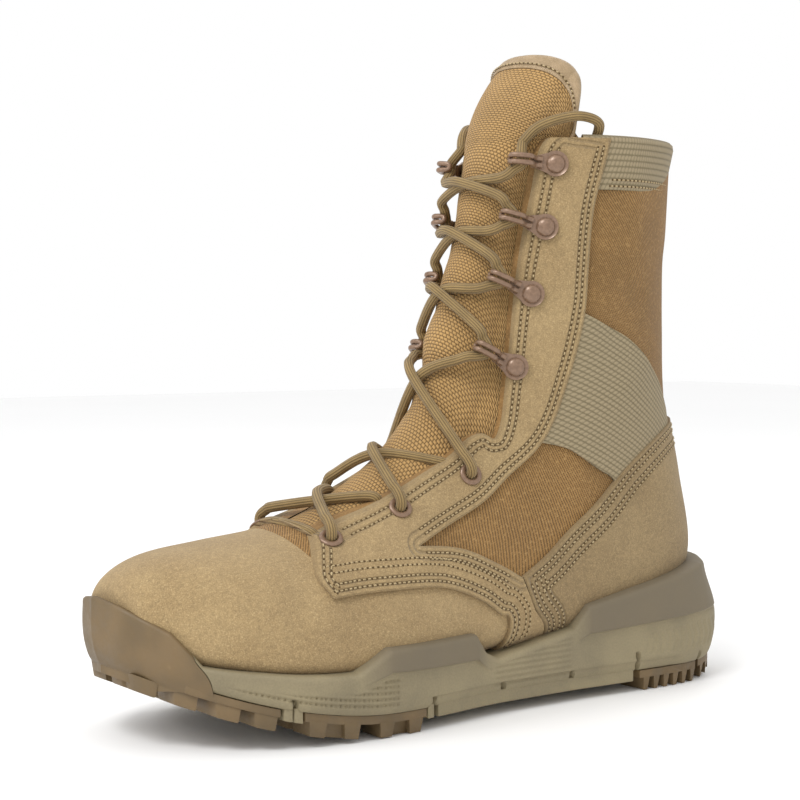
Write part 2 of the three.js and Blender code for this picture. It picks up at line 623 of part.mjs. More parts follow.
// A closed solid from flat loops that are each a strip folded over on itself
function sheetSolid(rings) {
  const count = rings[0].length;
  const points = rings.flat();
  const faces = [];
  for (let ring = 0; ring < rings.length - 1; ring += 1) {
    for (let k = 0; k < count; k += 1) {
      const next = (k + 1) % count;
      const base = ring * count;
      faces.push([base + k, base + next, base + count + next], [base + k, base + count + next, base + count + k]);
    }
  }
  for (let k = 0; k < count / 2 - 1; k += 1) {
    const mirror = count - 1 - k;
    const top = (rings.length - 1) * count;
    faces.push([k, mirror, k + 1], [k + 1, mirror, mirror - 1]);
    faces.push([top + k, top + k + 1, top + mirror], [top + k + 1, top + mirror - 1, top + mirror]);
  }
  const geometry = new THREE.BufferGeometry().setFromPoints(points);
  geometry.setIndex(faces.flat());
  return toManifold(geometry);
}

const atHeight = (height) => 1 + height / RISE_PER_S;
const tongueRows = RINGS.filter((s) => s >= TONGUE_START && s < 0.97).map((s) => () => s);
const tongue = tongueSheet([
  ...tongueRows,
  (share) => atHeight((archTop(share) - BINDING_WIDTH) / 2 - 4),
  (share) => atHeight(archTop(share) - BINDING_WIDTH - GAP),
], [...tongueRows.map(() => 1), TONGUE_FLARE, TONGUE_FLARE]);
const tongueBinding = tongueSheet([
  (share) => atHeight(archTop(share) - BINDING_WIDTH),
  (share) => atHeight(archTop(share)),
], [TONGUE_FLARE, TONGUE_FLARE]);

// Midsole: the body of the sole without the toe piece, hollowed by the upper, with the arch blocks
const BUMPER_EDGE = [[0.922, 0.146], [0.905, 0.103], [0.893, 0.0]];
const BUMPER = side([...BUMPER_EDGE, [0.893, -0.1], [1.1, -0.1], [1.1, 0.5], [0.922, 0.5]]);
const cup = grownForm(GAP, HEADROOM);
const GROOVES = [0.812, 0.600, 0.470, 0.345, 0.224, 0.092];
const CHANNEL = { from: 0.227, to: 0.597, share: 0.34 };

const archPlate = plate({
  from: 0.230, to: 0.594, inner: -1, outer: 1, bottom: ARCH_CLEARANCE, top: TREAD_DEPTH + BEDDING, steps: 5,
});
const PAD_COLUMNS = [[-0.88, -0.36], [-0.26, 0.26], [0.42, 0.90]];
const PAD_ROWS = [[0.243, 0.332], [0.358, 0.456], [0.484, 0.582]];
const pads = PAD_ROWS.flatMap(([from, to]) => PAD_COLUMNS.map(([inner, outer]) =>
  lug({ from, to, inner, outer, foot: PAD_CLEARANCE, top: ARCH_CLEARANCE + ROOT })));
const fillers = [[0.601, 0.612], [0.800, 0.811], [0.813, 0.824]].map(([from, to]) =>
  plate({ from, to, inner: -1, outer: 1, bottom: ARCH_CLEARANCE, top: TREAD_DEPTH + BEDDING, steps: 1 }));
const sipes = GROOVES.map((x) => {
  const middle = x * LENGTH;
  const height = SIPE_TOP + spring(middle);
  const slot = new THREE.BoxGeometry(SIPE_WIDTH, 2 * BALL_WIDTH, 2 * height).translate(middle, 0, 0);
  return toManifold(slot);
});
const channelMiddle = (CHANNEL.from + CHANNEL.to) / 2;
const channel = new THREE.BoxGeometry((CHANNEL.to - CHANNEL.from) * LENGTH, CHANNEL_WIDTH, 2 * TREAD_DEPTH)
  .translate(channelMiddle * LENGTH, CHANNEL.share * treadY(channelMiddle, 1, TREAD_EDGE), 0);
const midsole = join([soleBody(TREAD_DEPTH), archPlate, ...fillers, ...pads])
  .subtract(cup)
  .subtract(sidePrism(grown(BUMPER, GAP), -BALL_WIDTH, BALL_WIDTH))
  .subtract(join(sipes))
  .subtract(toManifold(channel));

// Rubber pods: a plate with lugs, each row from, to, inner and outer edge
const plateTop = TREAD_DEPTH - GAP;
function pod({ from, to, inner, outer, rows, columns, notched }) {
  const base = plate({ from, to, inner, outer, bottom: LUG_DEPTH, top: plateTop });
  const blocks = rows.flatMap(([start, end]) => columns.map(([low, high]) => {
    const place = {
      from: mix(from, to, start), to: mix(from, to, end), inner: mix(inner, outer, low), outer: mix(inner, outer, high),
    };
    const atEdge = place.outer > 0.95 || place.inner < -0.95;
    return notched && atEdge ? notchedLug(place) : lug(place);
  }));
  return join([base, ...blocks]);
}

const TWO_ROWS = [[0.03, 0.42], [0.58, 0.97]];
const FOREFOOT_PODS = {
  forefoot_pod_lateral: { inner: 0.40, outer: 1, columns: [[0.04, 0.46], [0.54, 1]], notched: true },
  forefoot_pod_centre: { inner: -0.30, outer: 0.30, columns: [[0.05, 0.95]], notched: false },
  forefoot_pod_medial: { inner: -1, outer: -0.36, columns: [[0, 0.46], [0.54, 0.96]], notched: true },
};
const forefootPods = Object.entries(FOREFOOT_PODS).map(([name, place]) => [
  name, pod({ from: 0.6145, to: 0.7975, rows: TWO_ROWS, ...place }),
]);

// The heel's ribs run across it and have a saw-tooth profile
function ribbedPod({ from, to, inner, outer }) {
  const base = plate({ from, to, inner, outer, bottom: LUG_DEPTH, top: plateTop });
  const count = Math.round((to - from) * LENGTH / RIB_PITCH);
  const ribs = [];
  for (let rib = 0; rib < count; rib += 1) {
    const start = mix(from, to, rib / count);
    const end = mix(from, to, (rib + RIB_SHARE) / count);
    ribs.push(lug({ from: start, to: end, inner, outer, inset: TREAD_EDGE }));
  }
  return join([base, ...ribs]);
}

const HEEL_PODS = {
  heel_pod_lateral: [0.100, 0.218, 0.08, 1],
  heel_pod_medial: [0.100, 0.218, -1, -0.08],
  heel_tip_lateral: [0.028, 0.086, 0.08, 0.96],
  heel_tip_medial: [0.028, 0.086, -0.96, -0.08],
};
const heelPods = Object.entries(HEEL_PODS).map(([name, [from, to, inner, outer]]) => [
  name, ribbedPod({ from, to, inner, outer }),
]);

// Toe piece: bumper and plate in one, with rows of lugs that follow the toe spring
const toePlate = plate({
  from: 0.8275, to: 0.93, inner: -1, outer: 1, bottom: LUG_DEPTH, top: plateTop, steps: 4,
});
const TOE_LUG_ROWS = [[0.830, 0.858], [0.872, 0.900], [0.914, 0.938], [0.950, 0.972]];
const TOE_LUG_COLUMNS = [[-1, -0.44], [-0.28, 0.28], [0.44, 1]];
const toeLugs = TOE_LUG_ROWS.flatMap(([from, to], row) => TOE_LUG_COLUMNS.map(([inner, outer]) => {
  const place = { from, to, inner, outer, inset: TREAD_EDGE + 0.4 };
  return row === 0 && (inner === -1 || outer === 1) ? notchedLug(place) : lug(place);
}));
const toeBumper = join([
  soleBody(LUG_DEPTH).intersect(sidePrism(BUMPER, -BALL_WIDTH, BALL_WIDTH)).subtract(cup),
  toePlate,
  ...toeLugs,
]);

// Eyelet: a rolled ring with a barrel through facing and shell
function eyelet() {
  const barrel = EYELET_BORE + BARREL_WALL;
  const length = ON_FACING + WALL - GAP;
  return lathe([
    [EYELET_BORE, -length], [barrel, -length], [barrel, 0], [EYELET_RADIUS, 0],
    [EYELET_RADIUS - 0.6, EYELET_HEIGHT], [EYELET_BORE, EYELET_HEIGHT],
  ], 8);
}

// Hook: a drop-shaped plate with its rivet, and an arm that rises and reaches over the lace
function hook() {
  const neck = ARM_WIDTH / 2;
  const rise = LACE_DIAMETER + LACE_PLAY;
  const back = ARM_REACH - ARM_LENGTH;
  const front = ARM_REACH - ARM_THICKNESS;
  const drop = [[back + 1, -neck], [back + 1, neck]];
  for (let k = 0; k <= 4; k += 1) {
    const turn = rad(60 + k * 60);
    drop.push([PLATE_RADIUS * Math.cos(turn), PLATE_RADIUS * Math.sin(turn)]);
  }
  const plateShape = new THREE.Shape(drop.map(([x, y]) => new THREE.Vector2(x, y)));
  const base = toManifold(new THREE.ExtrudeGeometry(plateShape, { depth: PLATE_THICKNESS, bevelEnabled: false }));
  const rivet = new THREE.CylinderGeometry(RIVET_RADIUS - 0.8, RIVET_RADIUS, RIVET_HEIGHT + 0.2, 6)
    .rotateX(Math.PI / 2).translate(0, 0, PLATE_THICKNESS + RIVET_HEIGHT / 2 - 0.1);
  const arm = sidePrism([
    [back - 2, 0.05], [back + 1.2, 0.05], [back + 2, 1], [back + 2, rise - ARM_THICKNESS + 0.7],
    [front - 0.6, rise - ARM_THICKNESS + 0.7], [front, rise - ARM_THICKNESS], [front, 1.4], [ARM_REACH, 1.4],
    [ARM_REACH, rise - 0.6], [ARM_REACH - 1.4, rise + 0.7], [back + 1.2, rise + 0.7], [back, rise - 0.5],
    [back, PLATE_THICKNESS - 0.05], [back - 2, PLATE_THICKNESS - 0.05],
  ], -neck + 0.05, neck - 0.05);
  return toGeometry(join([base, toManifold(rivet), arm]));
}

// Lace: a bar at the lowest eyelets and crossings over the tongue, from each fastener to the next one of the
// other side. At a fastener one leg arrives below and the next one leaves above it.
const TURN_HALF = LACE_DIAMETER / 2 + 3 * GAP;
const laceOverEyelet = EYELET_HEIGHT + GAP + LACE_DIAMETER / 2 + LACE_LIFT;
const saddle = { ahead: ARM_REACH - ARM_LENGTH / 2, out: 1.2 };
const fasteners = (sign) => [
  ...eyeletFrames(sign).map((frame) => [frame, 0, laceOverEyelet]),
  ...hookFrames(sign).map((frame) => [frame, saddle.ahead, saddle.out]),
].map(([frame, ahead, out]) => ({
  low: point(ahead, sign * TURN_HALF, out).applyMatrix4(frame),
  high: point(ahead, -sign * TURN_HALF, out).applyMatrix4(frame),
}));
const legOverEyelet = ON_FACING + laceOverEyelet + LACE_LIFT;
const legOverTongue = LACE_DIAMETER / 2 + SEAT_GAP;
const LEG_AT_HOOK = { angle: 30, lift: 1.5 };
const STOPS = [
  ...EYELETS.map(([s, angle]) => [s, angle, legOverEyelet]),
  ...HOOKS.map(([s]) => [s, LEG_AT_HOOK.angle, LEG_AT_HOOK.lift]),
];
const ENDS = { 1: fasteners(1), [-1]: fasteners(-1) };
const TURN_S = 0.008;          // along the form, between a leg and the turn at its fastener

function crossing(from, to, sign) {
  const [[s0, angle0, lift0], [s1, angle1, lift1]] = [STOPS[from], STOPS[to]];
  const level = from === to;
  const middle = [0.6, 0, -0.6].map((share) => {
    const travel = (1 - share) / 2;
    const angle = sign * rad(share > 0 ? share * angle0 : share * angle1);
    const s = level ? s0 - TURN_S : mix(s0 + TURN_S, s1 - TURN_S, travel);
    const clear = tongueFront(s, angle) + LACE_DIAMETER / 2 + LACE_SAG;
    const slope = mix(legOverTongue, mix(lift0, lift1, travel), Math.abs(share));
    return offsetForm(s, angle, Math.max(slope, LEG_AT_HOOK.lift, clear));
  });
  const start = level ? ENDS[sign][from].low : ENDS[sign][from].high;
  return toManifold(tube([start, ...middle, ENDS[-sign][to].low], 6, 4));
}

const laceBar = crossing(0, 0, 1);
const crossings = STOPS.slice(1).map((_, stop) => crossing(stop, stop + 1, 1).add(crossing(stop, stop + 1, -1)));

// The two ends: from the top hook over the corner of the facing and down inside the shaft
const END_ROUTES = {
  lace_end_lateral: [
    [116, 21.5, 232], [112, 26, 238], [105, 31, 241.5], [96, 35, 243], [88, 37, 240.5], [85.5, 32.5, 234],
    [86.5, 31, 226], [87.5, 30, 220],
  ],
  lace_end_medial: [
    [116, -21, 232], [112, -25.5, 238.5], [105, -31, 242.5], [97, -34, 243], [90, -34, 239],
    [88, -30.5, 231.5], [88, -28.5, 224],
  ],
};
const laceEnds = Object.entries(END_ROUTES).map(([name, route]) => [
  name, tube(route.map((p) => point(...p)), 8, 12),
]);

// Assembly
const boot = new THREE.Group();
const centreY = (() => {
  const reach = STATIONS.flatMap((x) => [edgeY(x, OUTER_SIDE), edgeY(x, INNER_SIDE)]);
  return (Math.max(...reach) + Math.min(...reach)) / 2;
})();
boot.position.set(-LENGTH / 2, -centreY, 0);

function addPiece(name, geometry, material) {
  const mesh = new THREE.Mesh(geometry, material);
  mesh.name = name;
  boot.add(mesh);
  return mesh;
}

const suede = solid(SUEDE, 0.95);
const webbing = solid(WEBBING, 0.9);
const rubber = solid(RUBBER, 0.7);
const metal = solid(METAL, 0.45, 0.3);
const cord = solid(CORD, 0.9);

addPiece('upper', toGeometry(upper), solid(CANVAS));
eyestays.forEach((piece, k) => addPiece(`eyestay_${SIDES[k][0]}`, toGeometry(piece), suede));
addPiece('counter', toGeometry(counter), suede);
ankleWebs.forEach((piece, k) => addPiece(`ankle_web_${SIDES[k][0]}`, toGeometry(piece), webbing));
addPiece('collar_web', toGeometry(collarWeb), webbing);
addPiece('back_strip', toGeometry(backStrip), webbing);
addPiece('tongue', toGeometry(tongue), solid(CANVAS));
addPiece('tongue_binding', toGeometry(tongueBinding), solid(LEATHER, 0.6));
addPiece('insole', toGeometry(insole), solid(CANVAS));
addPiece('midsole', toGeometry(midsole), solid(FOAM, 0.8));
addPiece('toe_bumper', toGeometry(toeBumper), rubber);
[...forefootPods, ...heelPods].forEach(([name, piece]) => addPiece(name, toGeometry(piece), rubber));

SIDES.forEach(([name, sign]) => {
  eyeletFrames(sign).forEach((frame, k) => {
    addPiece(`eyelet_${name}_${k + 1}`, eyelet(), metal).applyMatrix4(frame);
  });
  hookFrames(sign).forEach((frame, k) => {
    addPiece(`hook_${name}_${k + 1}`, hook(), metal).applyMatrix4(frame);
  });
});
addPiece('lace_bar', toGeometry(laceBar), cord);
crossings.forEach((piece, k) => addPiece(`lace_crossing_${k + 1}`, toGeometry(piece), cord));
laceEnds.forEach(([name, geometry]) => addPiece(name, geometry, cord));

export default boot;
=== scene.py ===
# %% [markdown]
# A tan desert boot, left foot, stands on a pale floor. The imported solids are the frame: every piece below
# sits where its solid sits. Lengths are worked out in millimetres, because that is how a last is drawn,
# and become metres only when a mesh is made.

# %% Frame
import json
import math

import bpy
import bmesh
import numpy as np
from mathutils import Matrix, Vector
from mathutils.bvhtree import BVHTree

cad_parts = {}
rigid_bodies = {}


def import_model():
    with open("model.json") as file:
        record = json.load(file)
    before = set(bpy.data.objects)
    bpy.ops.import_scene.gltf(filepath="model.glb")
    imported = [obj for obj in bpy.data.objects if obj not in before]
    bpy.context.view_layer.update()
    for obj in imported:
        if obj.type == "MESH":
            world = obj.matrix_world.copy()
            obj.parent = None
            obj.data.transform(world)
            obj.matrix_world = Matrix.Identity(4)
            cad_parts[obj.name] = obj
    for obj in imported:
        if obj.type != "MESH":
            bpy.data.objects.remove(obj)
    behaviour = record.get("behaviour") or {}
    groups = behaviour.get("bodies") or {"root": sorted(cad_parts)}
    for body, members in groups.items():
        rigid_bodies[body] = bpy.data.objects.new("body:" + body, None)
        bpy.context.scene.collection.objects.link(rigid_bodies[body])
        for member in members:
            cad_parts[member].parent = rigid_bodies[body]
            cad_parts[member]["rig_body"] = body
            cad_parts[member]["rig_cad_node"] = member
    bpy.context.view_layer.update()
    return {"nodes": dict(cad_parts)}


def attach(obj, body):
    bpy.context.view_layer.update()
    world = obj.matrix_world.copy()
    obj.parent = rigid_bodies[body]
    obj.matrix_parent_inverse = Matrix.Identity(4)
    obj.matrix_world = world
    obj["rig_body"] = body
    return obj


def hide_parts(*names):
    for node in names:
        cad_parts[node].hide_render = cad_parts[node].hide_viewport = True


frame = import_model()
print("solids:", len(frame["nodes"]))

# %% [markdown]
# The camera stands about three quarters of a metre off, on the outer side and ahead of the toe, at two
# thirds of the shaft's height. Its place was found once, from the outline of the sole.

# %% Camera
MM = 0.001
CAMERA_PLACE = Vector((433, 610, 157)) * MM
CAMERA_TURN = math.radians(30.43)
CAMERA_PITCH = math.radians(2.13)
FOCAL_PIXELS = 1500
AIM = (107, -8)                  # the boot's middle, in pixels right of and above the line of sight
ZOOM = 1.2
PICTURE_WIDTH, SENSOR_WIDTH = 800, 36

sight = Vector((
    -math.sin(CAMERA_TURN) * math.cos(CAMERA_PITCH),
    -math.cos(CAMERA_TURN) * math.cos(CAMERA_PITCH),
    -math.sin(CAMERA_PITCH),
))
to_right = sight.cross(Vector((0, 0, 1))).normalized()
to_top = to_right.cross(sight)
aim = sight + to_right * (AIM[0] / FOCAL_PIXELS) + to_top * (AIM[1] / FOCAL_PIXELS)
bpy.ops.object.camera_add(location=CAMERA_PLACE)
camera = bpy.context.object
camera.rotation_mode = "QUATERNION"
camera.rotation_quaternion = aim.to_track_quat("-Z", "Y")
camera.data.lens = SENSOR_WIDTH * FOCAL_PIXELS / PICTURE_WIDTH * ZOOM
bpy.context.scene.camera = camera
print("lens:", round(camera.data.lens, 1), "mm")

# %% [markdown]
# The form is the shape that the boot was built over. It is a row of closed rings that fan from upright at
# the toe to level at the collar. Each table row holds a ring's front and back point and its half widths.

# %% Form
LENGTH, BALL_WIDTH, HEEL_WIDTH, SHAFT_WIDTH = 300, 98, 75, 78
INSTEP_HEIGHT, SHAFT_HEIGHT, FOOTBED_HEIGHT = 120, 234, 25
TOE_SPRING, SPRING_START = 26, 0.64
CENTRE_Y = 1.049
WALL, OVERLAY, GAP = 2.4, 1.6, 0.3

# crest x, crest z, seat x, seat z, outer, inner, centre, widest, crown, keel
FOOT = [
    (0.975, 0.254, 0.975, 0.900, 0.071, 0.071, -0.071, 0.60, 2.0, 2.0),
    (0.972, 0.299, 0.973, 0.710, 0.168, 0.168, -0.061, 0.65, 2.1, 2.3),
    (0.962, 0.352, 0.963, 0.640, 0.230, 0.230, -0.041, 0.71, 2.2, 2.6),
    (0.933, 0.419, 0.938, 0.606, 0.299, 0.299, -0.036, 0.75, 2.3, 2.8),
    (0.893, 0.480, 0.893, 0.605, 0.400, 0.400, -0.022, 0.77, 2.3, 3.0),
    (0.827, 0.550, 0.820, 0.680, 0.485, 0.485, -0.010, 0.78, 2.2, 3.0),
    (0.760, 0.613, 0.720, 0.770, 0.500, 0.480, 0.005, 0.78, 2.1, 3.0),
    (0.693, 0.695, 0.607, 0.800, 0.485, 0.439, 0.010, 0.77, 2.0, 2.9),
    (0.627, 0.792, 0.483, 0.840, 0.439, 0.393, 0.005, 0.74, 2.0, 2.8),
    (0.567, 0.883, 0.360, 0.920, 0.408, 0.378, 0.000, 0.71, 2.0, 2.8),
]
HEEL = [
    (0.517, 0.000, 0.227, 1.000, 0.507, 0.480, 0, 0.68, 2.0, 2.7),
    (0.490, 0.149, 0.113, 1.200, 0.493, 0.480, 0, 0.63, 2.0, 2.5),
]
SHAFT = [
    (0.473, 0.307, 0.050, 0.214, 0.474, 0.462, 0, 0.56, 2.0, 2.2),
    (0.453, 0.456, 0.067, 0.359, 0.474, 0.462, 0, 0.53, 2.0, 2.1),
    (0.435, 0.596, 0.090, 0.496, 0.487, 0.474, 0, 0.51, 2.0, 2.0),
    (0.420, 0.737, 0.098, 0.654, 0.500, 0.487, 0, 0.50, 2.0, 2.0),
    (0.410, 0.868, 0.095, 0.829, 0.513, 0.500, 0, 0.50, 2.0, 2.0),
    (0.400, 1.000, 0.087, 1.000, 0.513, 0.500, 0, 0.50, 2.0, 2.0),
]


def spring(x):
    return TOE_SPRING * np.clip((x / LENGTH - SPRING_START) / (1 - SPRING_START), 0, 1) ** 2


def shaft_rise(share):
    return INSTEP_HEIGHT + (SHAFT_HEIGHT - INSTEP_HEIGHT) * share


def section(row, crest_height, seat_height, width):
    crest_x, _, seat_x, _, outer, inner, centre, widest, crown, keel = row
    return [
        crest_x * LENGTH, crest_height + spring(crest_x * LENGTH),
        seat_x * LENGTH, seat_height + spring(seat_x * LENGTH),
        outer * width, inner * width, centre * width, widest, crown, keel,
    ]


SECTIONS = np.array(
    [section(row, row[1] * INSTEP_HEIGHT, row[3] * FOOTBED_HEIGHT, BALL_WIDTH) for row in FOOT]
    + [section(row, shaft_rise(row[1]), row[3] * FOOTBED_HEIGHT, HEEL_WIDTH) for row in HEEL]
    + [section(row, shaft_rise(row[1]), row[3] * SHAFT_HEIGHT, SHAFT_WIDTH) for row in SHAFT]
)
LAST_SECTION = len(SECTIONS) - 1


def smooth_rows(rows, place):
    """Values between a table's rows, on a smooth curve through them."""
    index = np.clip(np.floor(place).astype(int), 0, len(rows) - 2)
    t = (place - index)[..., None]
    a, b, c, d = (rows[np.clip(index + step, 0, len(rows) - 1)] for step in (-1, 0, 1, 2))
    return 0.5 * (2 * b + (c - a) * t + (2 * a - 5 * b + 4 * c - d) * t ** 2
                  + (3 * b - a - 3 * c + d) * t ** 3)


def on_form(s, angle):
    """Points of the form: s from the toe (0) to the collar (1), angle from the crest over the outer side."""
    s, angle = np.broadcast_arrays(np.asarray(s, float), np.asarray(angle, float))
    rows = smooth_rows(SECTIONS, np.clip(s, 0, 1) * LAST_SECTION)
    crest_x, crest_z, seat_x, seat_z, outer, inner, centre, widest, crown, keel = np.moveaxis(rows, -1, 0)
    cos, sin = np.cos(angle), np.sin(angle)
    power = 2 / np.where(cos > 0, crown, keel)
    depth = np.abs(cos) ** power
    down = np.where(cos > 0, widest * (1 - depth), widest + (1 - widest) * depth)
    across = np.where(sin >= 0, outer, -inner) * np.abs(sin) ** power
    return np.stack([
        crest_x + (seat_x - crest_x) * down, centre + across, crest_z + (seat_z - crest_z) * down,
    ], -1)


TONGUE_RISE, TONGUE_LEAN = 36, 15


def above(s, angle):
    """The form goes on above the collar in its last direction and leans back, as the tongue does."""
    back = 0.02
    top = on_form(np.minimum(s, 1), angle)
    slope = (on_form(1, angle) - on_form(1 - back, angle)) * (np.maximum(s - 1, 0) / back)[..., None]
    rise = slope[..., 2] / TONGUE_RISE
    lean = np.zeros_like(top)
    lean[..., 0] = -TONGUE_LEAN * rise ** 2
    return top + slope + lean


def normals(s, angle, surface=on_form):
    """Outward normals, from the surface's own slopes along and around it."""
    low, high = s - 0.002, s + 0.002
    if surface is on_form:
        low, high = np.clip(low, 0, 1), np.clip(high, 0, 1)
    along = surface(high, angle) - surface(low, angle)
    around = surface(s, angle + 0.02) - surface(s, angle - 0.02)
    out = np.cross(around, along)
    return out / np.linalg.norm(out, axis=-1, keepdims=True)


print("form at the instep:", on_form(0.4, 1.2).round(1))

# %% [markdown]
# Leather and cloth never lie on a last like sheet metal. A few soft troughs and ridges are placed
# where this boot bends: across the vamp behind the toes, round the ankle and down the shaft. Each is a line
# in side view with a width and a depth, and fades towards its ends.

# %% Folds
# x and z of both ends in side view, width and depth in mm; a negative depth is a trough
OUTER_FOLDS = [
    (226, 74, 243, 42, 6, -0.9), (214, 80, 230, 40, 6, 0.6), (203, 84, 214, 44, 7, -0.8),
    (120, 205, 105, 120, 13, -1.2), (62, 170, 84, 150, 8, -1.0), (48, 150, 78, 128, 8, 0.8),
    (70, 226, 66, 176, 9, 0.9), (88, 214, 94, 168, 8, -0.8), (36, 190, 52, 160, 9, -0.7),
    (142, 104, 118, 72, 9, -0.7), (104, 90, 78, 66, 9, 0.6), (40, 108, 70, 84, 9, -0.8),
    (150, 88, 176, 62, 7, -0.6),
]
INNER_FOLDS = [
    (222, 76, 240, 40, 7, -1.0), (208, 82, 222, 42, 7, 0.7), (118, 200, 108, 128, 12, -1.1),
    (58, 176, 84, 152, 9, -1.1), (46, 150, 80, 124, 9, 0.9), (76, 222, 70, 178, 9, 0.8),
    (140, 100, 112, 70, 10, -0.9), (40, 112, 72, 82, 9, -0.8),
]


def folds(points, side):
    """How far the surface moves out at points on one side of the boot (1 outer, -1 inner)."""
    total = np.zeros(points.shape[:-1])
    for x0, z0, x1, z1, width, depth in OUTER_FOLDS if side > 0 else INNER_FOLDS:
        dx, dz = x1 - x0, z1 - z0
        length = math.hypot(dx, dz)
        along = ((points[..., 0] - x0) * dx + (points[..., 2] - z0) * dz) / length ** 2
        off = ((points[..., 0] - x0) * dz - (points[..., 2] - z0) * dx) / length
        fade = np.exp(-np.maximum(np.abs(along - 0.5) - 0.3, 0) ** 2 / 0.05)
        total += depth * np.exp(-(off / width) ** 2) * fade
    return total * np.clip(np.abs(points[..., 1]) / 12, 0, 1)


def over_form(s, angle, distance, surface=on_form):
    """Points at a distance outside the form, folds included."""
    base = surface(s, angle)
    side = np.where(base[..., 1] >= 0, folds(base, 1), folds(base, -1))
    return base + normals(s, angle, surface) * (distance + side)[..., None]


print("folds:", len(OUTER_FOLDS), "on the outer side,", len(INNER_FOLDS), "on the inner one")

# %% [markdown]
# Helpers for meshes. A sheet starts as Blender's own grid and its vertices are then laid on the form, so it
# keeps the grid's UV map: one square of cloth that runs along and around the boot.

# %% Meshes
SHIFT = np.array((-LENGTH / 2, -CENTRE_Y, 0))


def deselect():
    if bpy.context.object and bpy.context.object.mode == "EDIT":
        bpy.ops.object.mode_set(mode="OBJECT")
    bpy.ops.object.select_all(action="DESELECT")


def activate(piece):
    deselect()
    piece.select_set(True)
    bpy.context.view_layer.objects.active = piece


def edit_all(piece):
    """Opens a piece in edit mode with all of it selected."""
    activate(piece)
    bpy.ops.object.mode_set(mode="EDIT")
    bpy.ops.mesh.select_all(action="SELECT")


def close_edit():
    bpy.ops.object.mode_set(mode="OBJECT")


def apply_modifier(piece, kind, **settings):
    activate(piece)
    modifier = piece.modifiers.new(kind.title(), kind)
    for key, value in settings.items():
        setattr(modifier, key, value)
    bpy.ops.object.modifier_apply(modifier=modifier.name)


def raw_points(piece):
    """Vertices as they stand in the mesh."""
    flat = np.empty(len(piece.data.vertices) * 3)
    piece.data.vertices.foreach_get("co", flat)
    return flat.reshape(-1, 3)


def get_points(piece):
    """Vertices in the form's own millimetres."""
    return raw_points(piece) / MM - SHIFT


def set_points(piece, points):
    piece.data.vertices.foreach_set("co", ((points + SHIFT) * MM).ravel())
    piece.data.update()


def new_mesh(name, points, faces, shift=SHIFT, unit=MM):
    """A piece from points in the form's millimetres and faces."""
    mesh = bpy.data.meshes.new(name)
    mesh.from_pydata([tuple(p) for p in (np.asarray(points) + shift) * unit], [], faces)
    piece = bpy.data.objects.new(name, mesh)
    bpy.context.scene.collection.objects.link(piece)
    return piece


def tidy(piece, merge=0.01, flip=True):
    """Joins doubles and points all faces outwards."""
    edit_all(piece)
    bpy.ops.mesh.remove_doubles(threshold=merge * MM)
    if flip:
        bpy.ops.mesh.normals_make_consistent(inside=False)
    close_edit()


def sheet_grid(name, columns, rows):
    """A grid whose u and v run from 0 to 1, with both numbers for each vertex."""
    deselect()
    bpy.ops.mesh.primitive_grid_add(x_subdivisions=columns, y_subdivisions=rows, size=1)
    piece = bpy.context.object
    piece.name = name
    places = raw_points(piece) + 0.5
    return piece, places[:, 0], places[:, 1]


def scale_uv(piece, across, along):
    """Turns the grid's UV map into millimetres of cloth."""
    layer = piece.data.uv_layers.active.data
    flat = np.empty(len(layer) * 2)
    layer.foreach_get("uv", flat)
    flat = flat.reshape(-1, 2) * (across, along)
    layer.foreach_set("uv", flat.ravel())


def cut(piece, tool, operation="DIFFERENCE", keep_tool=False):
    apply_modifier(piece, "BOOLEAN", operation=operation, solver="MANIFOLD", object=tool)
    if not keep_tool:
        bpy.data.objects.remove(tool)


def smooth(piece, angle=35):
    activate(piece)
    bpy.ops.object.shade_smooth_by_angle(angle=math.radians(angle))


# Words in a finish's name, for each material slot of the record
SLOTS = {
    "suede": ("suede",), "canvas": ("canvas", "twill", "basket", "insole"), "webbing": ("webbing", "tape"),
    "binding": ("binding",), "foam": ("foam",), "rubber": ("rubber",), "metal": ("hardware",),
    "lace": ("lace", "thread"),
}


def finished(piece, finish, *nodes):
    """Gives a piece its finish and its body, and hides the solids that it stands for; a slot is looked up but
    not kept.
    """
    piece.data.materials.clear()
    piece.data.materials.append(finish)
    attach(piece, "root")
    fitting = (slot for slot, words in SLOTS.items() if any(word in finish.name for word in words))
    next(fitting, "suede")
    if nodes:
        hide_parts(*nodes)
    print(f"{piece.name}: {len(piece.data.polygons)} faces")


def curve_through(points, pitch):
    """Points about a pitch apart on a smooth line through the given ones."""
    points = np.asarray(points, float)
    rows = np.vstack([points[:1] * 2 - points[1:2], points, points[-1:] * 2 - points[-2:-1]])
    fine = np.linspace(1, len(points), max(len(points) * 24, 60))
    dense = smooth_rows(rows, np.minimum(fine, len(points) - 1e-9))
    steps = np.linalg.norm(np.diff(dense, axis=0), axis=1)
    run = np.concatenate([[0], np.cumsum(steps)])
    count = max(int(round(run[-1] / pitch)), 1)
    places = np.linspace(0, run[-1], count + 1)
    return np.stack([np.interp(places, run, dense[:, k]) for k in range(dense.shape[1])], -1)


print("from the form's place to the frame's, in mm:", SHIFT)

# %% [markdown]
# A finish is a node material. Shader maths reads better as plain expressions, so a small class wraps a
# socket: adding or multiplying two of them adds the Math node. Every other node comes from one method.

